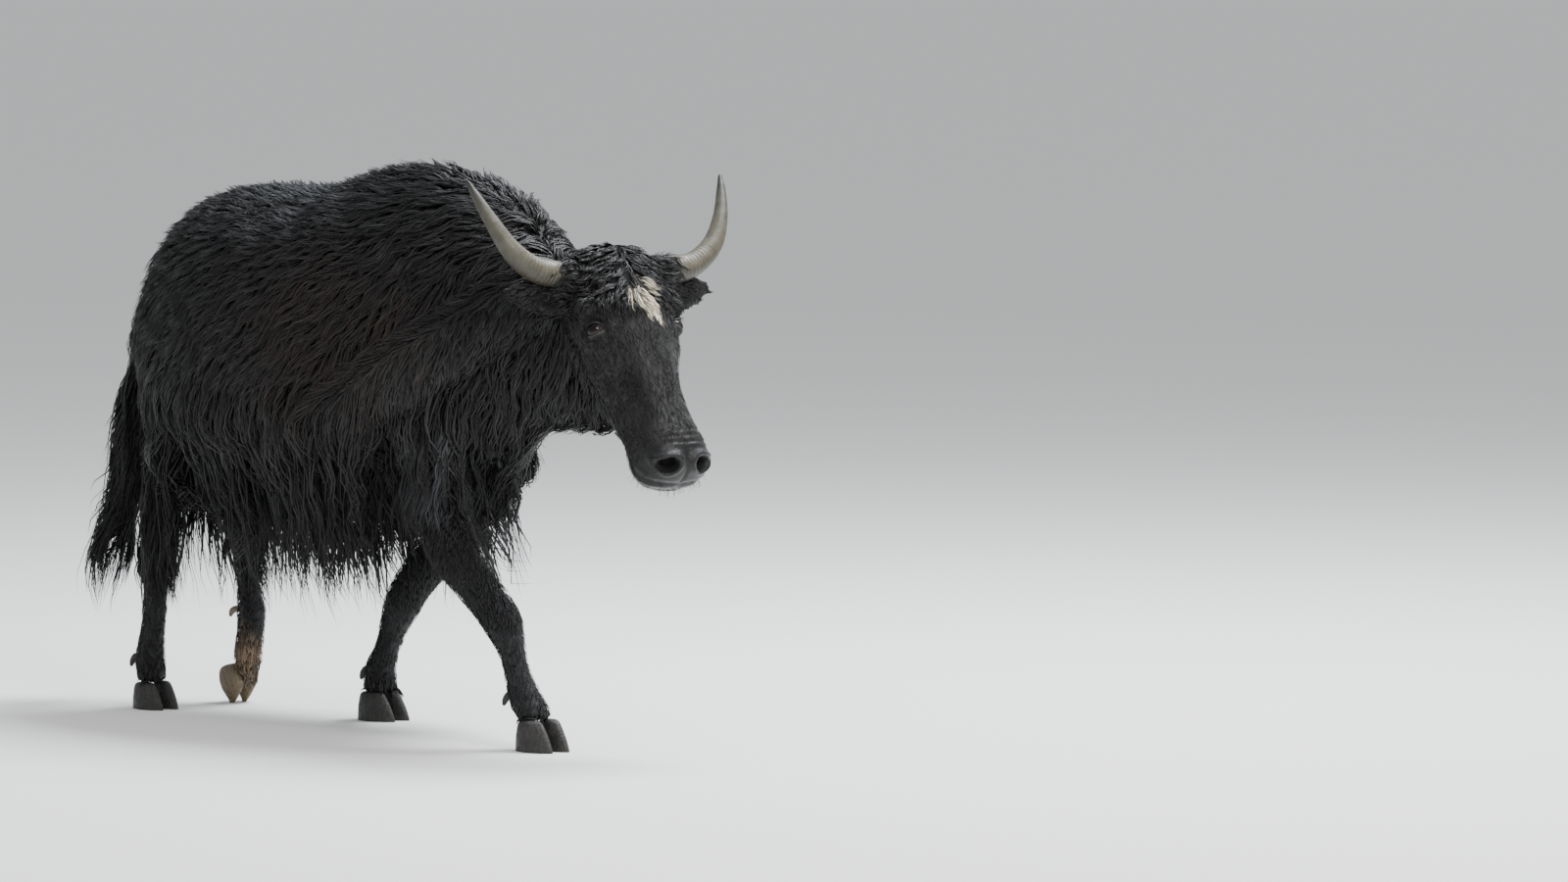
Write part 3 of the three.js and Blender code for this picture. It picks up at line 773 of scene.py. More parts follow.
def refineSkin(mesh):
    def ease(rounds, where):
        putPoints(mesh, relaxed(pointsOf(mesh), edgesOf(mesh), rounds, 0.5, where))

    def toEye():  # from each point to the nearer eye
        points = pointsOf(mesh)
        return np.min([np.linalg.norm(points - eyeMiddle(side), axis=1) for side in (-1, 1)], axis=0)

    refine(mesh, (readOff(mesh, "head", "muzzle", "ear") > 0.6) | (readOff(mesh, "lower") > 0.8))
    ease(3, smooth(0.3, 0.9, readOff(mesh, "head", "muzzle", "ear", "lower")))
    down = toHead(pointsOf(mesh))[0]
    refine(mesh, (toEye() < 0.050) | ((down > 0.425) & (down < 0.6)))
    refine(mesh, toEye() < 0.034)
    down = toHead(pointsOf(mesh))[0]
    ease(2, ((down > 0.1) & (readOff(mesh, "head", "muzzle") > 0.5)).astype(float))
    points = openEyes(shapeFace(pointsOf(mesh)))
    putPoints(mesh, wrinkleLegs(points, vertexNormals(mesh)))


skin = makeSkin()
print("skin joined:", len(skin.data.polygons), "faces")
refineSkin(skin.data)
print("skin refined:", len(skin.data.polygons), "faces")


# Finish of the skin: short fur, bare wet muzzle, lids and nostrils

def paintSkin(mesh):
    points = pointsOf(mesh)
    down, out, left = toHead(points)
    muzzleEdge = 0.440 + 0.35 * np.maximum(-out - 0.03, 0) + 0.008 * ripple(points, 0.02)
    bare = smooth(-0.020, 0.016, down - muzzleEdge) * (down < 0.6) * smooth(-0.118, -0.095, out)
    bare *= smooth(0.4, 0.8, readOff(mesh, "muzzle"))
    lids, paleLid, inNose = np.zeros((3, len(points)))
    for side in (-1, 1):
        u, v, w = inEye(points, side)
        ratio = np.hypot(u / eyeOpening["long"], (v + eyeOpening["slope"] * u) / eyeOpening["high"])
        front = w > 0.0
        lids = np.maximum(lids, (1 - smooth(1.10, 1.45, ratio)) * front)
        paleLid = np.maximum(paleLid, bump(1.10, 0.11, ratio) * front * smooth(0.1, -0.5, v / 0.012))
        ratio, v, w, into = inNostril(points, side)
        inNose = np.maximum(inNose, (1 - smooth(0.74, 0.96, ratio)) * (w > -0.01) * (w < 0.06))
    attach(mesh, "bare", np.maximum(bare, lids * 0.8))
    attach(mesh, "paleLid", paleLid)
    attach(mesh, "inNose", inNose)
    attach(mesh, "onFace", np.clip(readOff(mesh, "head", "muzzle"), 0, 1))
    # painted shade under the coat: how deep the coat is over each point
    attach(mesh, "shaded", smooth(0.004, 0.016, readOff(mesh, "depth")))
    attach(mesh, "faceSpace", np.stack([down, out, left], axis=1), "FLOAT_VECTOR")
    colour = markingAt(points, vertexNormals(mesh))
    attach(mesh, "coatColourAndSheen", np.concatenate([colour, np.ones((len(points), 1))], axis=1), "FLOAT_COLOR")


skinColours = {
    "furTips": (2.6, 2.6, 2.7, 1),  # this and the next two are times the marking
    "furPatches": (0.55, 0.50, 0.48, 1),
    "shadeUnderLongHair": (0.25, 0.25, 0.25, 1),
    "hideDark": (0.0032, 0.0032, 0.0035, 1),
    "hideLight": (0.0075, 0.0073, 0.0075, 1),
    "lid": (0.045, 0.043, 0.043, 1),
    # painted shade in the hollow of the nostrils
    "nostril": (0.0015, 0.0013, 0.0013, 1),
}


def skinFinish():
    f = Finish("skinFinish", Specular_IOR_Level=0.30, Sheen_Weight=0.08, Sheen_Roughness=0.4)
    place = f.place()
    bare = f.attribute("bare")
    onFace = f.attribute("onFace")
    faceLie = f.noise(f.stretched(f.attribute("faceSpace", "Vector"), (75, 430, 430)), 1.0, 4, 0.6)
    legLie = f.noise(f.stretched(place, (380, 380, 70)), 1.0, 4, 0.6)
    fur = faceLie * onFace + legLie * (1 - onFace)
    cells = {"Vector": place, "Scale": 300.0, "Smoothness": 0.6}
    pebble = f.make("TexVoronoi", {"feature": "SMOOTH_F1"}, cells)
    blotch = f.noise(place, 22.0, 4)
    coatColourAndSheen = f.attribute("coatColourAndSheen", "Color")
    furry = f.blend(f.span(fur, 0.32, 0.72), coatColourAndSheen, skinColours["furTips"], "MULTIPLY")
    furry = f.blend(f.span(blotch, 0.4, 0.65) * 0.4, furry, skinColours["furPatches"], "MULTIPLY")
    # painted shade: the skin is darker where the coat over it is deep
    furry = f.blend(f.attribute("shaded"), furry, skinColours["shadeUnderLongHair"], "MULTIPLY")
    hide = f.blend(f.span(blotch, 0.35, 0.7), skinColours["hideDark"], skinColours["hideLight"])
    colour = f.blend(bare, furry, hide)
    colour = f.blend(f.attribute("paleLid"), colour, skinColours["lid"])
    # painted shade: the inside of each nostril is made nearly black
    inNose = f.attribute("inNose")
    colour = f.blend(inNose, colour, skinColours["nostril"])
    roughness = f.span(bare, 0.0, 1.0, 0.62, 0.40) + (pebble - 0.3) * bare * 0.12 + inNose * 0.4
    softFur = f.raised(fur * (1 - bare), 0.0040, 0.9)
    normal = f.raised(pebble * bare * (1 - inNose), 0.0012, 0.6, softFur)
    return f.end(Base_Color=colour, Roughness=roughness, Normal=normal)


paintSkin(skin.data)
skin.data.materials[0] = skinFinish()
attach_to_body(skin, "root")
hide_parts(*[node for nodes in fleshNodes.values() for node in nodes])
print("skin finished")


# Eyes: dark balls with a clear bulge in front

eyeBall = {
    "radius": 0.0198,
    "bulge": 0.0020,
    "pupil": (0.0072, 0.0085),  # where its edge begins and ends, from the middle
    "iris": (0.0120, 0.0132),
    "rows": 40,
    "columns": 56,
    "pupilColour": (0.001, 0.001, 0.0012, 1),
    "irisDark": (0.004, 0.0026, 0.0020, 1),
    "irisLight": (0.011, 0.0065, 0.0040, 1),
    # painted shade: the white is made dark, as nearly all of it lies in the lids' shade
    "white": (0.020, 0.017, 0.016, 1),  # nearly all of it is in the lids' shade
}


def makeEye(side, word):
    gaze, long, high = eyeAxes(side)
    rows, columns = eyeBall["rows"], eyeBall["columns"]
    fromFront = np.linspace(0, math.pi, rows + 1)[1:-1]
    turnRound = np.arange(columns) * 2 * math.pi / columns
    a, b = np.meshgrid(fromFront, turnRound, indexing="ij")
    local = np.stack([np.sin(a) * np.cos(b), np.sin(a) * np.sin(b), np.cos(a)], axis=-1).reshape(-1, 3)
    local = np.concatenate([local, [[0, 0, 1]], [[0, 0, -1]]])
    reach = eyeBall["radius"] + eyeBall["bulge"] * smooth(0.55, 1.0, local[:, 2])
    points = eyeMiddle(side) + (local * reach[:, None]) @ np.array([long, high, gaze])
    faces = []
    front, rear = len(points) - 2, len(points) - 1
    for j in range(columns):
        k = (j + 1) % columns
        faces.append((front, j, k))
        faces.append((rear, (rows - 2) * columns + k, (rows - 2) * columns + j))
        for i in range(rows - 2):
            p, q = i * columns + j, i * columns + k
            faces.append((p, p + columns, q))
            faces.append((q, p + columns, q + columns))
    mesh = meshFrom("eye", points, faces)
    attach(mesh, "onEye", local * eyeBall["radius"], "FLOAT_VECTOR")
    piece = showPiece(f"eye_{word}_ball", mesh, eyeMaterial)
    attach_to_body(piece, "root")
    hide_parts(f"eye_{word}")


def eyeFinish():
    f = Finish("eyeFinish", Roughness=0.10, Coat_Weight=0.10, Coat_Roughness=0.04, Specular_IOR_Level=0.22)
    own = f.attribute("onEye", "Vector")

    def fromMiddle(scale):
        scaled = f.make("VectorMath", {"operation": "MULTIPLY"}, {0: own, 1: scale})
        return f.make("VectorMath", {"operation": "LENGTH"}, {0: scaled}, "Value")

    rim = fromMiddle((1, 1, 0))
    pupil = fromMiddle((1, 2, 0))  # a wide oval
    fibres = f.noise(f.stretched(own, (300, 300, 10)), 1.0, 3)
    iris = f.blend(f.span(fibres, 0.3, 0.7), eyeBall["irisDark"], eyeBall["irisLight"])
    colour = f.blend(f.span(pupil, *eyeBall["pupil"]), eyeBall["pupilColour"], iris)
    colour = f.blend(f.span(rim, *eyeBall["iris"]), colour, eyeBall["white"])
    return f.end(Base_Color=colour)


eyeMaterial = eyeFinish()
for side, word in ((-1, "right"), (1, "left")):
    makeEye(side, word)
print("eyes made")


# Horns: smooth tapering sweeps with growth rings near the root

horn = {
    # out from the head, up, back, radius
    "path": ((0.112, 0.0005, 0.0090, 0.0290), (0.150, 0.002, 0.006, 0.0280),
             (0.205, 0.016, 0.004, 0.0260), (0.253, 0.054, 0.010, 0.0220), (0.285, 0.108, 0.028, 0.0160),
             (0.306, 0.160, 0.054, 0.0100), (0.316, 0.193, 0.072, 0.0035)),
    "rings": 140,
    "sides": 36,
    "ringHeight": 0.0009,
    "ringEvery": 0.0082,
    "flatness": 0.96,
    "tip": (0.92, 0.70, 0.30),  # the last radii, times these
    "colours": (  # at shares of the length, from the root
        (0.0, (0.062, 0.054, 0.036)), (0.16, (0.108, 0.098, 0.068)), (0.45, (0.105, 0.096, 0.068)),
        (0.78, (0.078, 0.073, 0.056)), (0.92, (0.036, 0.035, 0.030)), (1.0, (0.015, 0.015, 0.014)),
    ),
    "streaks": (0.62, 0.58, 0.46, 1),
    # painted shade on the horn's underside
    "undersideShade": (0.022, 0.020, 0.012, 1),
    "smudge": (0.050, 0.048, 0.042, 1),
}


def through(rows, count):  # a smooth line through rows of numbers, evenly spaced
    rows = np.asarray(rows, float)
    last = len(rows) - 1
    out = []
    for s in np.linspace(0, last, count):
        i = min(int(s), last - 1)
        t = s - i
        a, b = rows[i], rows[i + 1]
        before, after = rows[max(i - 1, 0)], rows[min(i + 2, last)]
        slopeA = (b - before) / (2 if i > 0 else 1)
        slopeB = (after - a) / (2 if i + 2 <= last else 1)
        out.append((2 * t ** 3 - 3 * t ** 2 + 1) * a + (t ** 3 - 2 * t ** 2 + t) * slopeA
                   + (3 * t ** 2 - 2 * t ** 3) * b + (t ** 3 - t ** 2) * slopeB)
    return np.array(out)


def makeHorn(side, word):
    line = through(horn["path"], horn["rings"])
    path = onHead(head["hornRoot"]["down"], head["hornRoot"]["out"], 0)
    path = path + np.outer(line[:, 0] * side, headLeft) + np.outer(line[:, 1], upright)
    path += np.outer(-line[:, 2], headForward)
    length = np.concatenate([[0], np.cumsum(np.linalg.norm(np.diff(path, axis=0), axis=1))])
    share = length / length[-1]
    growth = np.sin(length / horn["ringEvery"] * 2 * math.pi + 2.2 * np.sin(length / 0.031))
    radii = line[:, 3] + horn["ringHeight"] * growth * smooth(0.62, 0.05, share)
    radii[-3:] *= horn["tip"]
    points, faces = tube(path, radii, horn["sides"], horn["flatness"])
    shape = bmesh.new()
    shape.from_mesh(meshFrom("horn", points, faces[:, ::-side]))
    bmesh.ops.recalc_face_normals(shape, faces=shape.faces)
    mesh = meshFromBmesh(shape)
    attach(mesh, "along", np.concatenate([np.repeat(share, horn["sides"]), [0, 1]]))
    # painted shade: how far the horn's surface faces down
    attach(mesh, "under", smooth(0.40, -0.50, vertexNormals(mesh)[:, 2]))
    piece = showPiece(f"horn_{word}_sheath", mesh, hornMaterials[word])
    hardShapes.append(mesh)
    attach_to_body(piece, "root")
    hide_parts(f"horn_{word}")


def hornFinish(name, smudges):
    f = Finish(name, Specular_IOR_Level=0.5)
    place = f.place()
    streak = f.noise(f.stretched(place, (55, 55, 55)), 1.0, 5)
    fine = f.noise(place, 420.0, 3)
    smudge = f.span(f.noise(place, 17.0, 4, 0.65), 0.5, 0.66)
    grown = f.make("ValToRGB", {"stops": horn["colours"]}, {"Fac": f.attribute("along")})
    colour = f.blend(f.span(streak, 0.35, 0.72), grown, horn["streaks"], "MULTIPLY")
    # painted shade: darker where the horn faces down
    colour = f.blend(f.attribute("under") * 0.85, colour, horn["undersideShade"])
    colour = f.blend(smudge * smudges, colour, horn["smudge"])
    rough = f.span(streak, 0.3, 0.7, 0.36, 0.55)
    return f.end(Base_Color=colour, Roughness=rough, Normal=f.raised(fine + streak * 2, 0.0009, 0.7))


hardShapes = []  # what hair can't go through
hornMaterials = {"right": hornFinish("hornFinish", 0.25), "left": hornFinish("smudgedHornFinish", 0.8)}
for side, word in ((-1, "right"), (1, "left")):
    makeHorn(side, word)
print("horns made")


# Hooves: the claws and dewclaws of each foot, rounded from their solids

hoof = {
    "crease": 0.85,  # keeps the sole's edge sharp
    "wider": 1.02,
    "dust": (0.075, 0.066, 0.052, 1),
}


def hoofFinish(name, dark, light):
    f = Finish(name, Specular_IOR_Level=0.4)
    place = f.place()
    grain = f.noise(f.stretched(place, (300, 300, 40)), 1.0, 4)
    bands = f.noise(f.stretched(place, (12, 12, 190)), 1.0, 3)
    dust = f.noise(place, 40.0, 4)
    colour = f.blend(f.span(grain, 0.3, 0.7), dark, light)
    colour = f.blend(f.span(dust, 0.5, 0.75) * 0.25, colour, hoof["dust"])
    rough = f.span(dust, 0.3, 0.7, 0.42, 0.68)
    return f.end(Base_Color=colour, Roughness=rough, Normal=f.raised(bands * 2 + grain, 0.0016, 0.8))


hoofMaterials = {
    "hoof": hoofFinish("hoofFinish", (0.012, 0.012, 0.012, 1), (0.034, 0.032, 0.029, 1)),
    "pale_hoof": hoofFinish("paleHoofFinish", (0.10, 0.075, 0.048, 1), (0.19, 0.145, 0.092, 1)),
}


def makeHoof(leg, side):
    nodes = [f"{leg}_{side}_{kind}_{place}" for kind in ("claw", "dewclaw") for place in ("inner", "outer")]
    slot = "pale_hoof" if (leg, side) == ("hindleg", "left") else "hoof"
    rough = newObject("rough", joinSolids("rough", [solidOf(node) for node in nodes]))
    onGround = (pointsOf(rough.data)[edgesOf(rough.data)][:, :, 2] < 0.003).all(axis=1)
    attach(rough.data, "crease_edge", onGround * hoof["crease"], on="EDGE")
    rounding = rough.modifiers.new("rounding", "SUBSURF")
    rounding.levels = rounding.render_levels = 2
    mesh = settled(rough)
    rounded = pointsOf(mesh)
    middle = rounded.mean(axis=0)
    rounded[:, :2] = middle[:2] + (rounded[:, :2] - middle[:2]) * hoof["wider"]
    rounded[:, 2] = np.maximum(rounded[:, 2], 0.0)
    putPoints(mesh, rounded)
    piece = showPiece(f"hoof_{leg}_{side}", mesh, hoofMaterials[slot])
    hardShapes.append(mesh)
    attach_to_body(piece, "root")
    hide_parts(*nodes)


for foot in feet:
    makeHoof(*foot)
print("hooves made")


# Coat: tufts rooted all over the skin, gathered into locks that follow the lie of the hair

class Roots:  # places on the skin, with what the skin carries there
    def __init__(self, mesh, density):
        mesh.calc_loop_triangles()
        corners = read(mesh.loop_triangles, "vertices", 3, np.int32)
        loops = read(mesh.loop_triangles, "loops", 3, np.int32)
        points = pointsOf(mesh)
        a, b, c = (points[corners[:, i]] for i in range(3))
        wanted = np.linalg.norm(np.cross(b - a, c - a), axis=1) / 2 * density[corners].mean(axis=1)
        chosen = chance.random(len(corners)) < wanted % 1
        triangle = np.repeat(np.arange(len(corners)), wanted.astype(int) + chosen)
        chance.shuffle(triangle)
        self.count = len(triangle)
        a, b = chance.random(self.count), chance.random(self.count)
        flip = a + b > 1
        a[flip], b[flip] = 1 - a[flip], 1 - b[flip]
        self.weights = np.stack([1 - a - b, a, b], axis=1)[:, :, None]
        self.corners = corners[triangle]
        self.place = self.carry(points)
        self.normal = unit(self.carry(vertexNormals(mesh)))
        uv = read(mesh.uv_layers["OFBake"].uv, "vector", 2)
        self.spot = (uv[loops[triangle]] * self.weights).sum(axis=1)

    def carry(self, values):
        values = values.reshape(len(values), -1)
        return (values[self.corners] * self.weights).sum(axis=1)

    def value(self, values):
        return self.carry(values)[:, 0]


coat = {
    "length": {
        "flank": 0.078, "back": 0.042, "hump": 0.095, "shoulder": 0.165, "rump": 0.150,
        "skirt": 0.310, "belly": 0.255, "rearSkirt": 0.350,
        "neck": 0.095, "crest": 0.120, "throat": 0.085, "chest": 0.150,
        "face": 0.0150, "forehead": 0.030, "jaw": 0.020, "hornRoot": 0.046, "muzzle": 0.007, "ear": 0.034,
        "dock": 0.12, "tail": 0.34, "legTop": 0.022, "foreleg": 0.130, "thigh": 0.225,
        "shin": 0.016, "behindShin": 0.020, "overHoof": 0.020,
    },
    # what goes with the length: some lengths, and the size at each
    "width": ((0.006, 0.015, 0.03, 0.08, 0.25), (0.0015, 0.0019, 0.0036, 0.0052, 0.0060)),
    "cover": ((0.010, 0.018, 0.028, 0.05, 0.10, 0.25), (0.35, 0.60, 2.0, 2.9, 3.2, 6.0)),
    "lock": ((0.012, 0.03, 0.05, 0.10, 0.25), (0.003, 0.008, 0.013, 0.019, 0.025)),
    "stand": ((0.012, 0.03), (0.30, 1.0)),
    "waveLength": ((0.02, 0.05, 0.10, 0.25), (0.030, 0.050, 0.088, 0.170)),
    "waveHeight": ((0.015, 0.04, 0.08, 0.25), (0.0006, 0.0058, 0.0080, 0.0120)),
    "uneven": 0.22,
    "lowest": 0.19,  # above the floor; the tail ends a little higher
    "tailLowest": 0.25,
    "longTufts": (0.16, 1.42),  # the share of hanging tufts that are longer than the rest, and how much
    "stray": 0.035,
    "patch": 0.003,  # size of each tuft's patch on the skin's unwrap
}
# How many points a tuft has along it, if it is shorter than each length
stationsFor = {0.017: 3, 0.034: 4, 0.060: 5, 0.120: 6, math.inf: 8}


def byLength(what, length):
    return np.interp(length, *coat[what])


def coverOf(share, width, length):  # how many tufts give that cover
    return share / (0.55 * width * length)


def hairPlan(points, normals, zones):  # the sizes of the hair rooted at each place
    long = coat["length"]
    x, y, z = (points - withers).T
    down, out, left = toHead(points)
    under = smooth(-0.35, -0.80, normals[:, 2])
    low = 1 - smooth(0.58, 0.82, z)
    trunk = mix(long["flank"], long["back"], smooth(0.30, 0.85, normals[:, 2]))
    trunk = mix(trunk, long["hump"], bump(0.00, 0.28, x) * smooth(1.02, 1.12, z))
    trunk = mix(trunk, long["shoulder"], bump(0.14, 0.34, x) * (1 - smooth(0.68, 1.02, z)))
    trunk = mix(trunk, long["rump"], smooth(-0.74, -0.88, x) * (1 - smooth(0.86, 1.0, z)))
    trunk = mix(trunk, long["skirt"], low)
    trunk = mix(trunk, long["belly"], low * under)
    trunk = mix(trunk, long["rearSkirt"], low * bump(-0.62, 0.36, x))
    neck = mix(long["neck"], long["crest"], smooth(0.3, 0.8, normals[:, 2]))
    neck = mix(neck, long["throat"], smooth(-0.2, -0.7, normals[:, 2]))
    neck = mix(neck, long["chest"], 1 - smooth(0.62, 0.80, z))
    forehead = (1 - smooth(0.075, 0.165, down)) * smooth(-0.11, -0.02, out)
    jaw = smooth(-0.10, -0.17, out)
    face = long["face"] + long["forehead"] * forehead + long["jaw"] * jaw * (1 - smooth(0.33, 0.42, down))
    face = mix(face, long["hornRoot"], hornRootAt(points))
    hind = smooth(-0.30, -0.45, x)
    shag = mix(smooth(0.44, 0.62, z), smooth(0.30, 0.46, z), hind)
    upper = mix(long["legTop"], mix(long["foreleg"], long["thigh"], hind), shag)
    rear = smooth(0.1, 0.7, -normals[:, 0])
    lower = long["shin"] + long["behindShin"] * rear * smooth(0.06, 0.14, z)
    lower += long["overHoof"] * (1 - smooth(0.075, 0.115, z))
    tail = mix(long["tail"], long["dock"], smooth(0.84, 1.0, z))
    length = sum(zones[zone] * value for zone, value in (
        ("trunk", trunk), ("neck", neck), ("head", face), ("muzzle", long["muzzle"]), ("ear", long["ear"]),
        ("tail", tail), ("upper", upper), ("lower", lower)))
    length = length * (1 + coat["uneven"] * ripple(points, 0.05, 2.0))
    tailRoom = np.maximum(z - coat["tailLowest"], 0.05) * 1.12
    length = mix(length, np.minimum(length, tailRoom), zones["tail"])
    width = byLength("width", length)
    ridge = bump(0.0, 0.10, y) * smooth(0.4, 0.8, normals[:, 2])
    cover = byLength("cover", length)
    cover = cover * (1 + 4.5 * zones["tail"] + 0.8 * zones["ear"] + 1.6 * ridge * zones["neck"]
                     + 0.9 * zones["upper"] * shag)
    cover = cover * (1 - 0.45 * under * zones["trunk"])
    cover = cover * (1 + 0.35 * low * bump(-0.50, 0.34, x) * zones["trunk"])
    hang = (zones["trunk"] * (1 - smooth(0.60, 0.74, z)) + zones["tail"] * (1 - smooth(0.86, 0.98, z))
            + zones["upper"] * shag * 0.9 + zones["neck"] * 0.6 * (1 - smooth(0.62, 0.80, z)))
    return {
        "length": length,
        "width": width,
        "density": coverOf(cover, width, length),
        "lock": byLength("lock", length),
        "hang": np.clip(hang, 0, 1),
        "stand": byLength("stand", length),
        "forehead": forehead,
    }


undercoat = {"length": 0.050, "width": 0.0095, "cover": 0.95, "lock": 0.018, "stand": 0.35, "stations": 3}


def undercoatOf(plan):  # short flat hair where the outer coat is long, so that no skin shows between locks
    thick = coverOf(undercoat["cover"], undercoat["width"], undercoat["length"])
    made = dict(plan, density=thick * smooth(0.055, 0.10, plan["length"]), hang=plan["hang"] * 0.1)
    for name in ("length", "width", "lock", "stand"):
        made[name] = np.full_like(plan["length"], undercoat[name])
    return made


def lieOf(points, normals, zones, t):  # which way the hair runs at a share t of its length
    x, y, z = (points - withers).T
    down, out, left = toHead(points)
    sideways = np.tanh(y / 0.12)
    top = smooth(0.05, 0.95, normals[:, 2])
    hump = bump(0.05, 0.30, x) * smooth(0.90, 1.06, z)
    low = 1 - smooth(0.56, 0.76, z)
    back = mix(0.62, 1.0, top)
    back = mix(back, 0.34, smooth(-0.25, 0.20, x) * (1 - top))
    sweep = mix(0.60, -0.50, smooth(0.05, 0.70, t))
    back = mix(back, sweep, low * (1 - smooth(0.05, 0.20, x)))
    onShoulder = smooth(0.02, 0.12, x) * (1 - smooth(0.66, 0.86, z))
    back = mix(back, mix(0.10, -0.55, smooth(0.45, 0.95, t)), onShoulder)
    back = mix(back, 0.25, smooth(-0.78, -0.90, x))
    trunk = np.stack([-back, mix(0.30, 0.85, hump) * sideways * top, -mix(1.0, 0.12, top)], axis=1)
    neck = np.stack([-mix(0.42, 0.75, top), 0.95 * sideways * top, -mix(1.0, 0.35, top)], axis=1)
    brow = (1 - smooth(0.08, 0.17, down))[:, None]
    jaw = smooth(-0.05, -0.14, out)[:, None]
    face = faceDown * (1 - 0.5 * jaw) - headForward * 0.75 * jaw
    curl = np.outer(np.tanh(left / 0.025) * 0.9, headLeft) + faceDown * 0.50
    face = mix(np.broadcast_to(face, points.shape), curl, brow)
    onHorn = np.outer(np.sign(left), headLeft) + faceDown * 0.25
    face = mix(face, onHorn, smooth(0.085, 0.115, np.abs(left))[:, None] * brow)
    ear = np.outer(np.sign(left), headLeft) * 0.9 - upright * 0.45 - headForward * 0.15
    away = np.stack([x + 1.0 + 0.22 * (0.75 - z), y, 0 * x], axis=1)
    tail = np.array((-0.36, 0.0, -1.0)) + unit(away) * mix(1.0, -0.22, t)
    shag = smooth(0.3, 0.5, z)
    leg = -upright + normals * mix(0.35, 0.0, t) * shag[:, None]
    leg += np.outer(mix(0.25, -0.10, t) * shag * (x < -0.4), (-1, 0, 0))
    lies = {"trunk": trunk, "neck": neck, "head": face, "muzzle": faceDown, "ear": ear, "tail": tail,
            "upper": leg, "lower": leg}
    lie = sum(zones[part][:, None] * value for part, value in lies.items())
    lie = lie + 0.22 * np.stack([ripple(points, 0.09, 3.0), ripple(points, 0.09, 4.0), 0 * x], axis=1)
    return unit(lie)


def guideLines(skinTree, roots, zones, plan, index, stations):
    place = roots.place[index]
    normal = roots.normal[index]
    own = {name: values[index] for name, values in zones.items()}
    hanging = plan["hang"][index]
    many = len(index)
    uneven = mix(chance.uniform(0.90, 1.10, many), chance.uniform(0.62, 1.18, many), hanging)
    share, longer = coat["longTufts"]
    uneven = uneven * np.where((chance.random(many) < share) & (hanging > 0.7), longer, 1.0)
    length = plan["length"][index] * uneven
    room = np.maximum(place[:, 2] - coat["lowest"], 0.03)
    length = np.where(hanging > 0.5, np.minimum(length, room), length)
    lift = chance.uniform(0.45, 1.0, many) * plan["stand"][index] * plan["depth"][index]
    lines = [place - normal * 0.002]
    here, step = place, length / (stations - 1)
    for k in range(1, stations):
        t = k / (stations - 1)
        lie = lieOf(here, normal, own, t)
        flat = 1 - hanging * smooth(0.1, 0.5, t)
        lie = unit(lie - normal * (lie * normal).sum(axis=1, keepdims=True) * flat[:, None])
        lie = unit(lie - upright * (hanging * mix(0.5, 1.1, smooth(0.1, 0.7, t)))[:, None])
        there = here + lie * step[:, None]
        found = [skinTree.find_nearest(p)[:2] for p in there]
        spot, facing = np.array(found).transpose(1, 0, 2)
        height = ((there - spot) * facing).sum(axis=1)
        wanted = lift * t ** 0.6 * 0.95 + 0.0015
        hold = 1 - hanging * smooth(0.05, 0.30, t)
        moved = np.where(height < wanted, wanted - height, (wanted - height) * hold)
        there = there + facing * moved[:, None]
        lines.append(there)
        here, normal = there, facing
    return np.stack(lines, axis=1)


def waved(lines, roots, plan, index):  # the locks' curl
    length = plan["length"][index]
    t = np.linspace(0, 1, lines.shape[1])
    along = unit(np.gradient(lines, axis=1))
    sideways = unit(np.cross(along, roots.normal[index][:, None, :]))
    high = byLength("waveHeight", length) * plan["curl"][index]
    phase = 5.5 * ripple(roots.place[index], 0.045, 5.0) + chance.normal(0, 0.5, len(index))
    angle = 2 * math.pi * np.outer(length / byLength("waveLength", length), t) + phase[:, None]
    swing = np.sin(angle) - np.sin(phase)[:, None] * (1 - t)
    rise = np.cos(angle) - np.cos(phase)[:, None] * (1 - t)
    grow = (high[:, None] * t ** 0.7)[:, :, None]
    up = np.cross(sideways, along)
    return lines + sideways * grow * swing[:, :, None] + up * grow * 0.35 * rise[:, :, None]


strand = {  # a closed prism of three sides
    "taper": ((0, 0.12, 0.45, 0.8, 1.0), (0.65, 1.0, 0.86, 0.44, 0.03)),  # width at shares of the length
    "sides": ((-1.0, -0.18), (1.0, -0.18), (0.0, 0.42)),  # its edges, sideways and up
    "across": (0.0, 1.0, 0.5),
}


def strandFaces(stations):
    last = (stations - 2) * 3
    faces = [(0, 2, 1)]
    for p in range(last):
        q = p + 1 if p % 3 < 2 else p - 2
        faces += [(p, q, p + 3), (q, q + 3, p + 3)]
    return np.array(faces + [(last + i, last + (i + 1) % 3, last + 3) for i in range(3)])


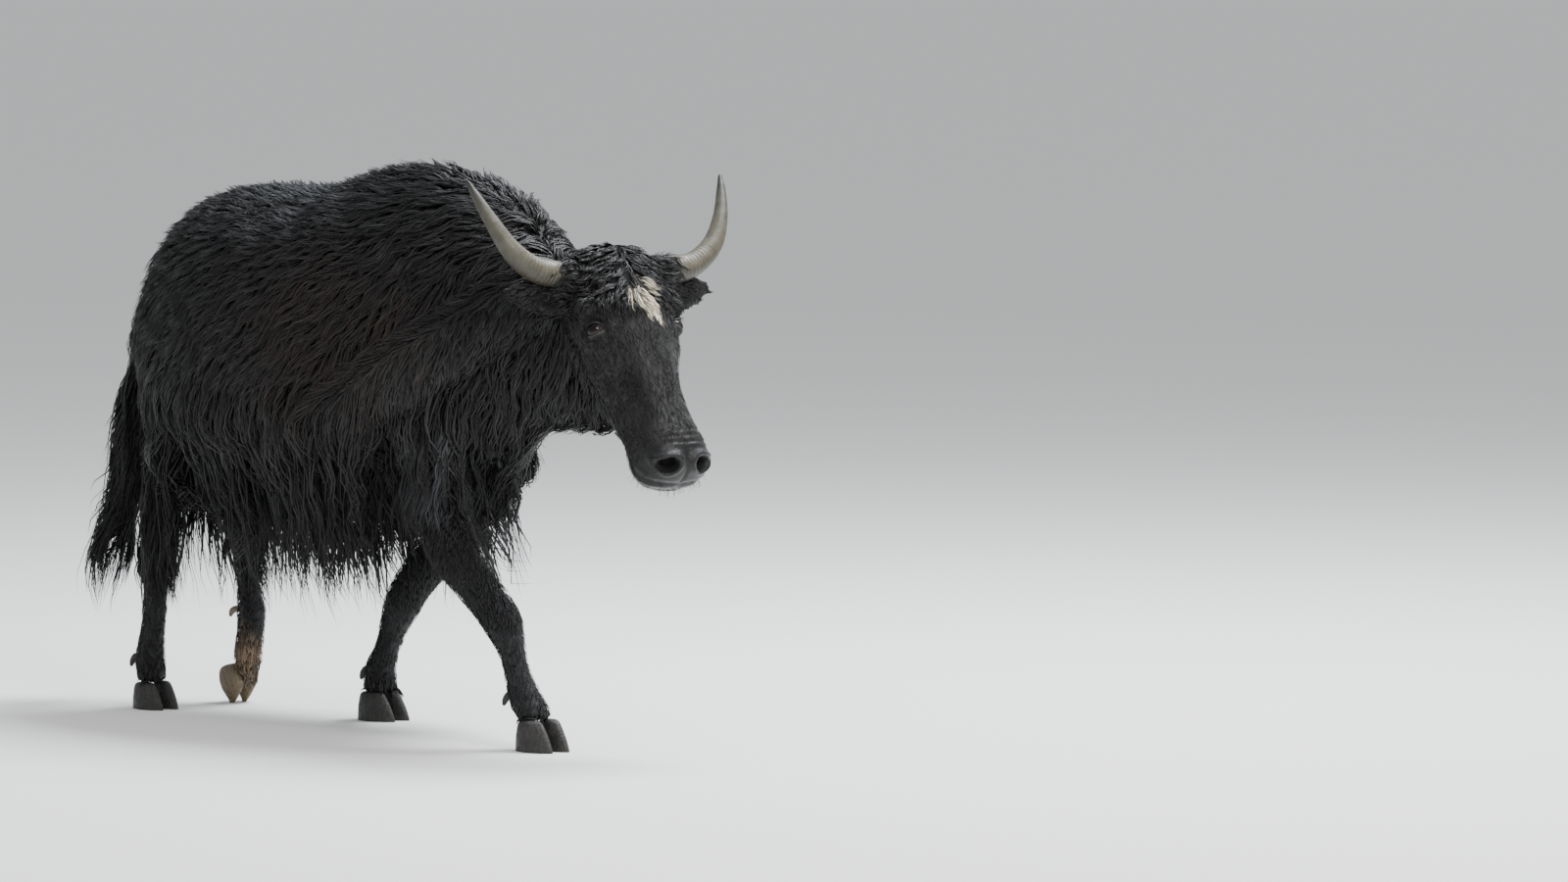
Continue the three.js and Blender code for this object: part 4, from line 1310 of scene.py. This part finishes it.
def strands(name, groups, material):  # one piece of the coat, from groups of tufts with equal stations
    made = {key: [] for key in ("points", "faces", "coatColourAndSheen", "reach", "OFBake", "hairLie")}
    count = 0
    for centres, up, half, spots, tints, luck in groups:
        number, stations = centres.shape[:2]
        along = unit(np.gradient(centres, axis=1))
        sideways = unit(np.cross(along, up))
        over = np.cross(sideways, along)
        t = np.linspace(0, 1, stations)
        w = (half[:, None] * np.interp(t, *strand["taper"])[None, :-1])[:, :, None]
        sideways, over = sideways[:, :-1] * w, over[:, :-1] * w
        rings = np.stack([centres[:, :-1] + sideways * u + over * v for u, v in strand["sides"]], axis=2)
        points = np.concatenate([rings.reshape(number, -1, 3), centres[:, -1:]], axis=1)
        each = points.shape[1]
        faces = strandFaces(stations)
        side = np.concatenate([np.tile(strand["across"], stations - 1), [0.5]])
        reach = np.concatenate([np.repeat(t[:-1], 3), [1.0]])
        spread = np.stack([side, reach], axis=1)[faces.ravel()]
        made["points"].append(points.reshape(-1, 3))
        made["faces"].append((faces + np.arange(number)[:, None, None] * each + count).reshape(-1, 3))
        made["coatColourAndSheen"].append(np.repeat(np.concatenate([tints, luck[:, None]], axis=1), each, axis=0))
        made["reach"].append(np.tile(reach, number))
        made["OFBake"].append((spots[:, None, :] + spread * coat["patch"]).reshape(-1, 2))
        made["hairLie"].append((spread + luck[:, None, None] * (37.0, 11.0)).reshape(-1, 2))
        count += number * each
    made = {key: np.concatenate(values) for key, values in made.items()}
    mesh = meshFrom(name, made["points"], made["faces"])
    for layer in ("OFBake", "hairLie"):
        mesh.uv_layers.new(name=layer).uv.foreach_set("vector", made[layer].astype(np.float32).ravel())
    attach(mesh, "coatColourAndSheen", made["coatColourAndSheen"], "FLOAT_COLOR")
    attach(mesh, "reach", made["reach"])
    piece = showPiece(name, mesh, material)
    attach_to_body(piece, "root")
    return piece


def hairFinish():
    f = Finish("hairFinish", Specular_IOR_Level=0.36, Sheen_Weight=0.02, Sheen_Roughness=0.35)
    coatColourAndSheen = f.attribute("coatColourAndSheen", "Color")
    luck = f.attribute("coatColourAndSheen", "Alpha")
    lie = f.make("UVMap", {"uv_map": "hairLie"}, {})
    streak = f.noise(f.stretched(lie, (9, 1.6, 1)), 1.0, 2)
    # painted shade: each tuft is darker towards its root, where its neighbours shade it
    rootShade = f.span(f.attribute("reach"), 0.0, 0.55, 0.30, 1.0)
    shade = rootShade * (luck * luck * 1.5 + 0.45) * f.span(streak, 0.3, 0.7, 0.7, 1.3)
    white = f.make("CombineColor", {}, {0: shade, 1: shade, 2: shade})
    colour = f.blend(1.0, coatColourAndSheen, white, "MULTIPLY")
    rough = f.span(streak, 0.3, 0.7, 0.36, 0.56)
    return f.end(Base_Color=colour, Roughness=rough, Normal=f.raised(streak, 0.0012, 0.55))


def thicknessOf(mesh, plan, zones):  # no hair on bare skin, hooves and lips, nor in the opening of the eyes
    points = pointsOf(mesh)
    bare = readOff(mesh, "bare")
    density = plan["density"] * (1 - smooth(0.25, 0.7, bare)) * smooth(0.052, 0.062, points[:, 2])
    density *= 1 - smooth(0.50, 0.505, toHead(points)[0]) * zones["muzzle"]
    for side in (-1, 1):
        u, v, w = inEye(points, side)
        ratio = np.hypot(u / eyeOpening["long"], v / eyeOpening["high"])
        density *= np.where((ratio < 1.25) & (np.sqrt(u ** 2 + v ** 2 + w ** 2) < 0.04), 0, 1)
    return density


def treeOf(mesh):  # hair lies over the skin, the horns' roots and the tops of the hooves
    points, faces = [], []
    for own in [mesh, *hardShapes]:
        faces += [tuple(v + len(points) for v in p.vertices) for p in own.polygons]
        points += [Vector(p) for p in pointsOf(own)]
    return BVHTree.FromPolygons(points, faces)


def growCoat(mesh, layer, tree, groups):
    inner = layer == "undercoat"
    zones = {part: readOff(mesh, part) for part in parts}
    total = np.maximum(sum(zones.values()), 1e-6)
    zones = {part: values / total for part, values in zones.items()}
    plan = hairPlan(pointsOf(mesh), vertexNormals(mesh), zones)
    plan = undercoatOf(plan) if inner else plan
    roots = Roots(mesh, thicknessOf(mesh, plan, zones))
    zones = {part: roots.value(values) for part, values in zones.items()}
    plan = hairPlan(roots.place, roots.normal, zones)
    plan = undercoatOf(plan) if inner else plan
    plan["depth"] = roots.value(readOff(mesh, "depth"))
    plan["curl"] = 1 - 0.8 * zones["lower"] - 0.8 * zones["head"] * (1 - plan["forehead"])
    tints = markingAt(roots.place, roots.normal)
    isGuide = chance.random(roots.count) < 1 / (plan["lock"] ** 2 * np.maximum(plan["density"], 1))
    guides = np.flatnonzero(isGuide)
    finder = nearest(roots.place[guides])
    guideOf = np.array([finder.find(p)[1] for p in roots.place])
    print(f"{layer}: {roots.count} tufts in {len(guides)} locks")
    if inner:
        stationsOf = np.full(len(guides), undercoat["stations"])
    else:
        step = np.searchsorted(list(stationsFor), plan["length"][guides], side="right")
        stationsOf = np.array(list(stationsFor.values()))[step]
    region = regionsOf(roots, zones)
    for stations in stationsFor.values():
        ofThese = np.flatnonzero(stationsOf == stations)
        if not len(ofThese):
            continue
        lines = guideLines(tree, roots, zones, plan, guides[ofThese], stations)
        lines = waved(lines, roots, plan, guides[ofThese])
        row = np.full(len(guides), -1)
        row[ofThese] = np.arange(len(ofThese))
        own = np.flatnonzero(row[guideOf] >= 0)
        line = lines[row[guideOf[own]]]
        t = np.linspace(0, 1, stations)[None, :, None]
        apart = roots.place[own][:, None, :] - line[:, :1]
        gather = chance.uniform(0.72, 0.97, len(guides))[guideOf[own]][:, None, None]
        stretch = chance.uniform(0.78, 1.06, len(own))[:, None, None]
        centres = line[:, :1] + (line - line[:, :1]) * stretch + apart * (1 - gather * smooth(0.05, 0.85, t))
        stray = chance.normal(0, 1, (len(own), 1, 3)) * plan["length"][own][:, None, None] * coat["stray"]
        centres = centres + stray * t ** 1.5
        half = plan["width"][own] * chance.uniform(0.35, 0.62, len(own))
        luck = 0.45 * chance.random(len(own)) + 0.55 * chance.random(len(guides))[guideOf[own]]
        tufts = (centres, roots.normal[own][:, None, :], half, roots.spot[own], tints[own], luck)
        for name in np.unique(region[own]):
            pick = region[own] == name
            groups.setdefault(str(name), []).append(tuple(values[pick] for values in tufts))




def regionsOf(roots, zones):  # the piece of the coat that each tuft goes in
    main = np.array(list(zones))[np.argmax(np.stack(list(zones.values())), axis=0)]
    x, y, z = (roots.place - withers).T
    upperTrunk = np.where(roots.normal[:, 2] > 0.55, "back", np.where(x > -0.35, "flank", "haunch"))
    trunk = np.where(z < 0.66, "skirt", upperTrunk)
    kind = np.select([main == "trunk", main == "neck", main == "tail", main == "upper", main == "lower"],
                     [trunk, "neck", "tail", "thigh", "shin"], "face")
    side = np.where(y < 0, "_right", "_left")
    return np.char.add(np.char.add("coat_", kind.astype(str)), side)


hairMaterial = hairFinish()
hairNodes = {
    "coat_skirt_right": ("fringe_right",),
    "coat_skirt_left": ("fringe_left", "brisket_hair"),
    "coat_tail_right": ("tail_switch",),
}
tufts = {}
skinTree = treeOf(skin.data)
for layer in ("undercoat", "outer coat"):
    growCoat(skin.data, layer, skinTree, tufts)
for name, groups in sorted(tufts.items()):
    piece = strands(name, groups, hairMaterial)
    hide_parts(*hairNodes.get(name, ()))
    print(name, len(piece.data.polygons), "triangles")
print("coat grown")


# Lashes on the upper lids and stiff whiskers on the lips and chin

bristle = {
    "lash": {"length": 0.013, "radius": 0.00045, "uneven": 0.30, "seed": 3, "number": 30},
    "whisker": {"length": 0.021, "radius": 0.00040, "uneven": 0.45, "seed": 9, "number": 130},
    "tip": 0.00004,
    "bend": 0.30,  # how far the end leans, as a share of the length
    "dark": (0.006, 0.006, 0.006, 1),
    "light": (0.026, 0.024, 0.022, 1),
}


def bristleTree():
    tree = bpy.data.node_groups.new("bristles", "GeometryNodeTree")
    face = tree.interface
    face.new_socket("Geometry", in_out="INPUT", socket_type="NodeSocketGeometry")
    for name, kind in (("Length", "Float"), ("Radius", "Float"), ("Uneven", "Float"), ("Seed", "Int"),
                       ("Material", "Material")):
        face.new_socket(name, in_out="INPUT", socket_type="NodeSocket" + kind)
    face.new_socket("Geometry", in_out="OUTPUT", socket_type="NodeSocketGeometry")

    def add(kind, inputs, **settings):
        node = tree.nodes.new(kind)
        for name, value in settings.items():
            setattr(node, name, value)
        for name, value in inputs.items():
            if isinstance(value, bpy.types.NodeSocket):
                tree.links.new(value, node.inputs[name])
            else:
                node.inputs[name].default_value = value
        return node.outputs

    def sum(operation, a, b):
        return add("ShaderNodeMath", {0: a, 1: b}, operation=operation)["Value"]

    given = add("NodeGroupInput", {})
    one = add("GeometryNodeMeshCone", {"Vertices": 4, "Side Segments": 4, "Radius Top": bristle["tip"],
                                       "Radius Bottom": given["Radius"], "Depth": given["Length"]})
    place = add("GeometryNodeInputPosition", {})
    split = add("ShaderNodeSeparateXYZ", {"Vector": place["Position"]})
    share = sum("DIVIDE", split["Z"], given["Length"])
    sag = sum("MULTIPLY", sum("MULTIPLY", share, share), given["Length"])
    bend = add("ShaderNodeCombineXYZ", {"X": sum("MULTIPLY", sag, bristle["bend"])})
    bent = add("GeometryNodeSetPosition", {"Geometry": one["Mesh"], "Offset": bend["Vector"]})
    lean = add("GeometryNodeInputNamedAttribute", {"Name": "lean"}, data_type="FLOAT_VECTOR")
    turn = add("FunctionNodeAlignRotationToVector", {"Vector": lean["Attribute"]}, axis="Z")
    low = sum("SUBTRACT", 1.0, given["Uneven"])
    size = add("FunctionNodeRandomValue", {2: low, 3: 1.0, "Seed": given["Seed"]}, data_type="FLOAT")
    many = add("GeometryNodeInstanceOnPoints", {"Points": given["Geometry"], "Instance": bent["Geometry"],
                                                "Rotation": turn["Rotation"], "Scale": size[1]})
    real = add("GeometryNodeRealizeInstances", {"Geometry": many["Instances"]})
    done = add("GeometryNodeSetMaterial", {"Geometry": real["Geometry"], "Material": given["Material"]})
    add("NodeGroupOutput", {"Geometry": done["Geometry"]})
    return tree


def makeBristles(name, kind, tree, points, leans):
    seeds = bpy.data.meshes.new("seeds")
    seeds.from_pydata([tuple(p) for p in points], [], [])
    attach(seeds, "lean", leans, "FLOAT_VECTOR")
    carrier = newObject("carrier", seeds)
    grow = carrier.modifiers.new("grow", "NODES")
    grow.node_group = tree
    sockets = {item.name: item.identifier for item in tree.interface.items_tree if item.in_out == "INPUT"}
    for label in ("Length", "Radius", "Uneven", "Seed"):
        grow[sockets[label]] = bristle[kind][label.lower()]
    grow[sockets["Material"]] = bristleMaterial
    piece = showPiece(name, settled(carrier), bristleMaterial)
    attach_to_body(piece, "root")
    print(name, len(piece.data.polygons), "faces")


def bristleFinish():
    f = Finish("bristleFinish", Specular_IOR_Level=0.4)
    grain = f.noise(f.place(), 260.0, 2)
    colour = f.blend(grain, bristle["dark"], bristle["light"])
    return f.end(Base_Color=colour, Roughness=f.span(grain, 0.3, 0.7, 0.4, 0.55))


def lashRoots(side):
    gaze, long, high = eyeAxes(side)
    a = np.linspace(math.radians(12), math.radians(168), bristle["lash"]["number"])
    u, v = eyeOpening["long"] * 1.02 * np.cos(a), eyeOpening["high"] * 0.84 * np.sin(a)
    w = np.sqrt(head["eye"]["radius"] ** 2 - np.minimum(u ** 2 + v ** 2, 0.00035)) + eyeOpening["rim"]
    points = eyeMiddle(side) + np.outer(u, long) + np.outer(v - 0.1 * u, high) + np.outer(w, gaze)
    leans = gaze * 0.9 + high * 0.10 + np.outer(np.cos(a), long) * 0.35
    return points, unit(leans) + upright * 0.05


def whiskerRoots(mesh):
    points, normals = pointsOf(mesh), vertexNormals(mesh)
    down, out, left = toHead(points)
    lips = (down > 0.455) & (out < -0.062) & (np.abs(left) < 0.075)
    picked = chance.choice(np.flatnonzero(lips), bristle["whisker"]["number"], replace=False)
    return points[picked], unit(normals[picked] + faceDown * 0.45 - upright * 0.25)


bristleMaterial = bristleFinish()
bristles = bristleTree()
for side, word in ((-1, "right"), (1, "left")):
    makeBristles(f"lashes_{word}", "lash", bristles, *lashRoots(side))
makeBristles("whiskers", "whisker", bristles, *whiskerRoots(skin.data))


bpy.context.view_layer.update()
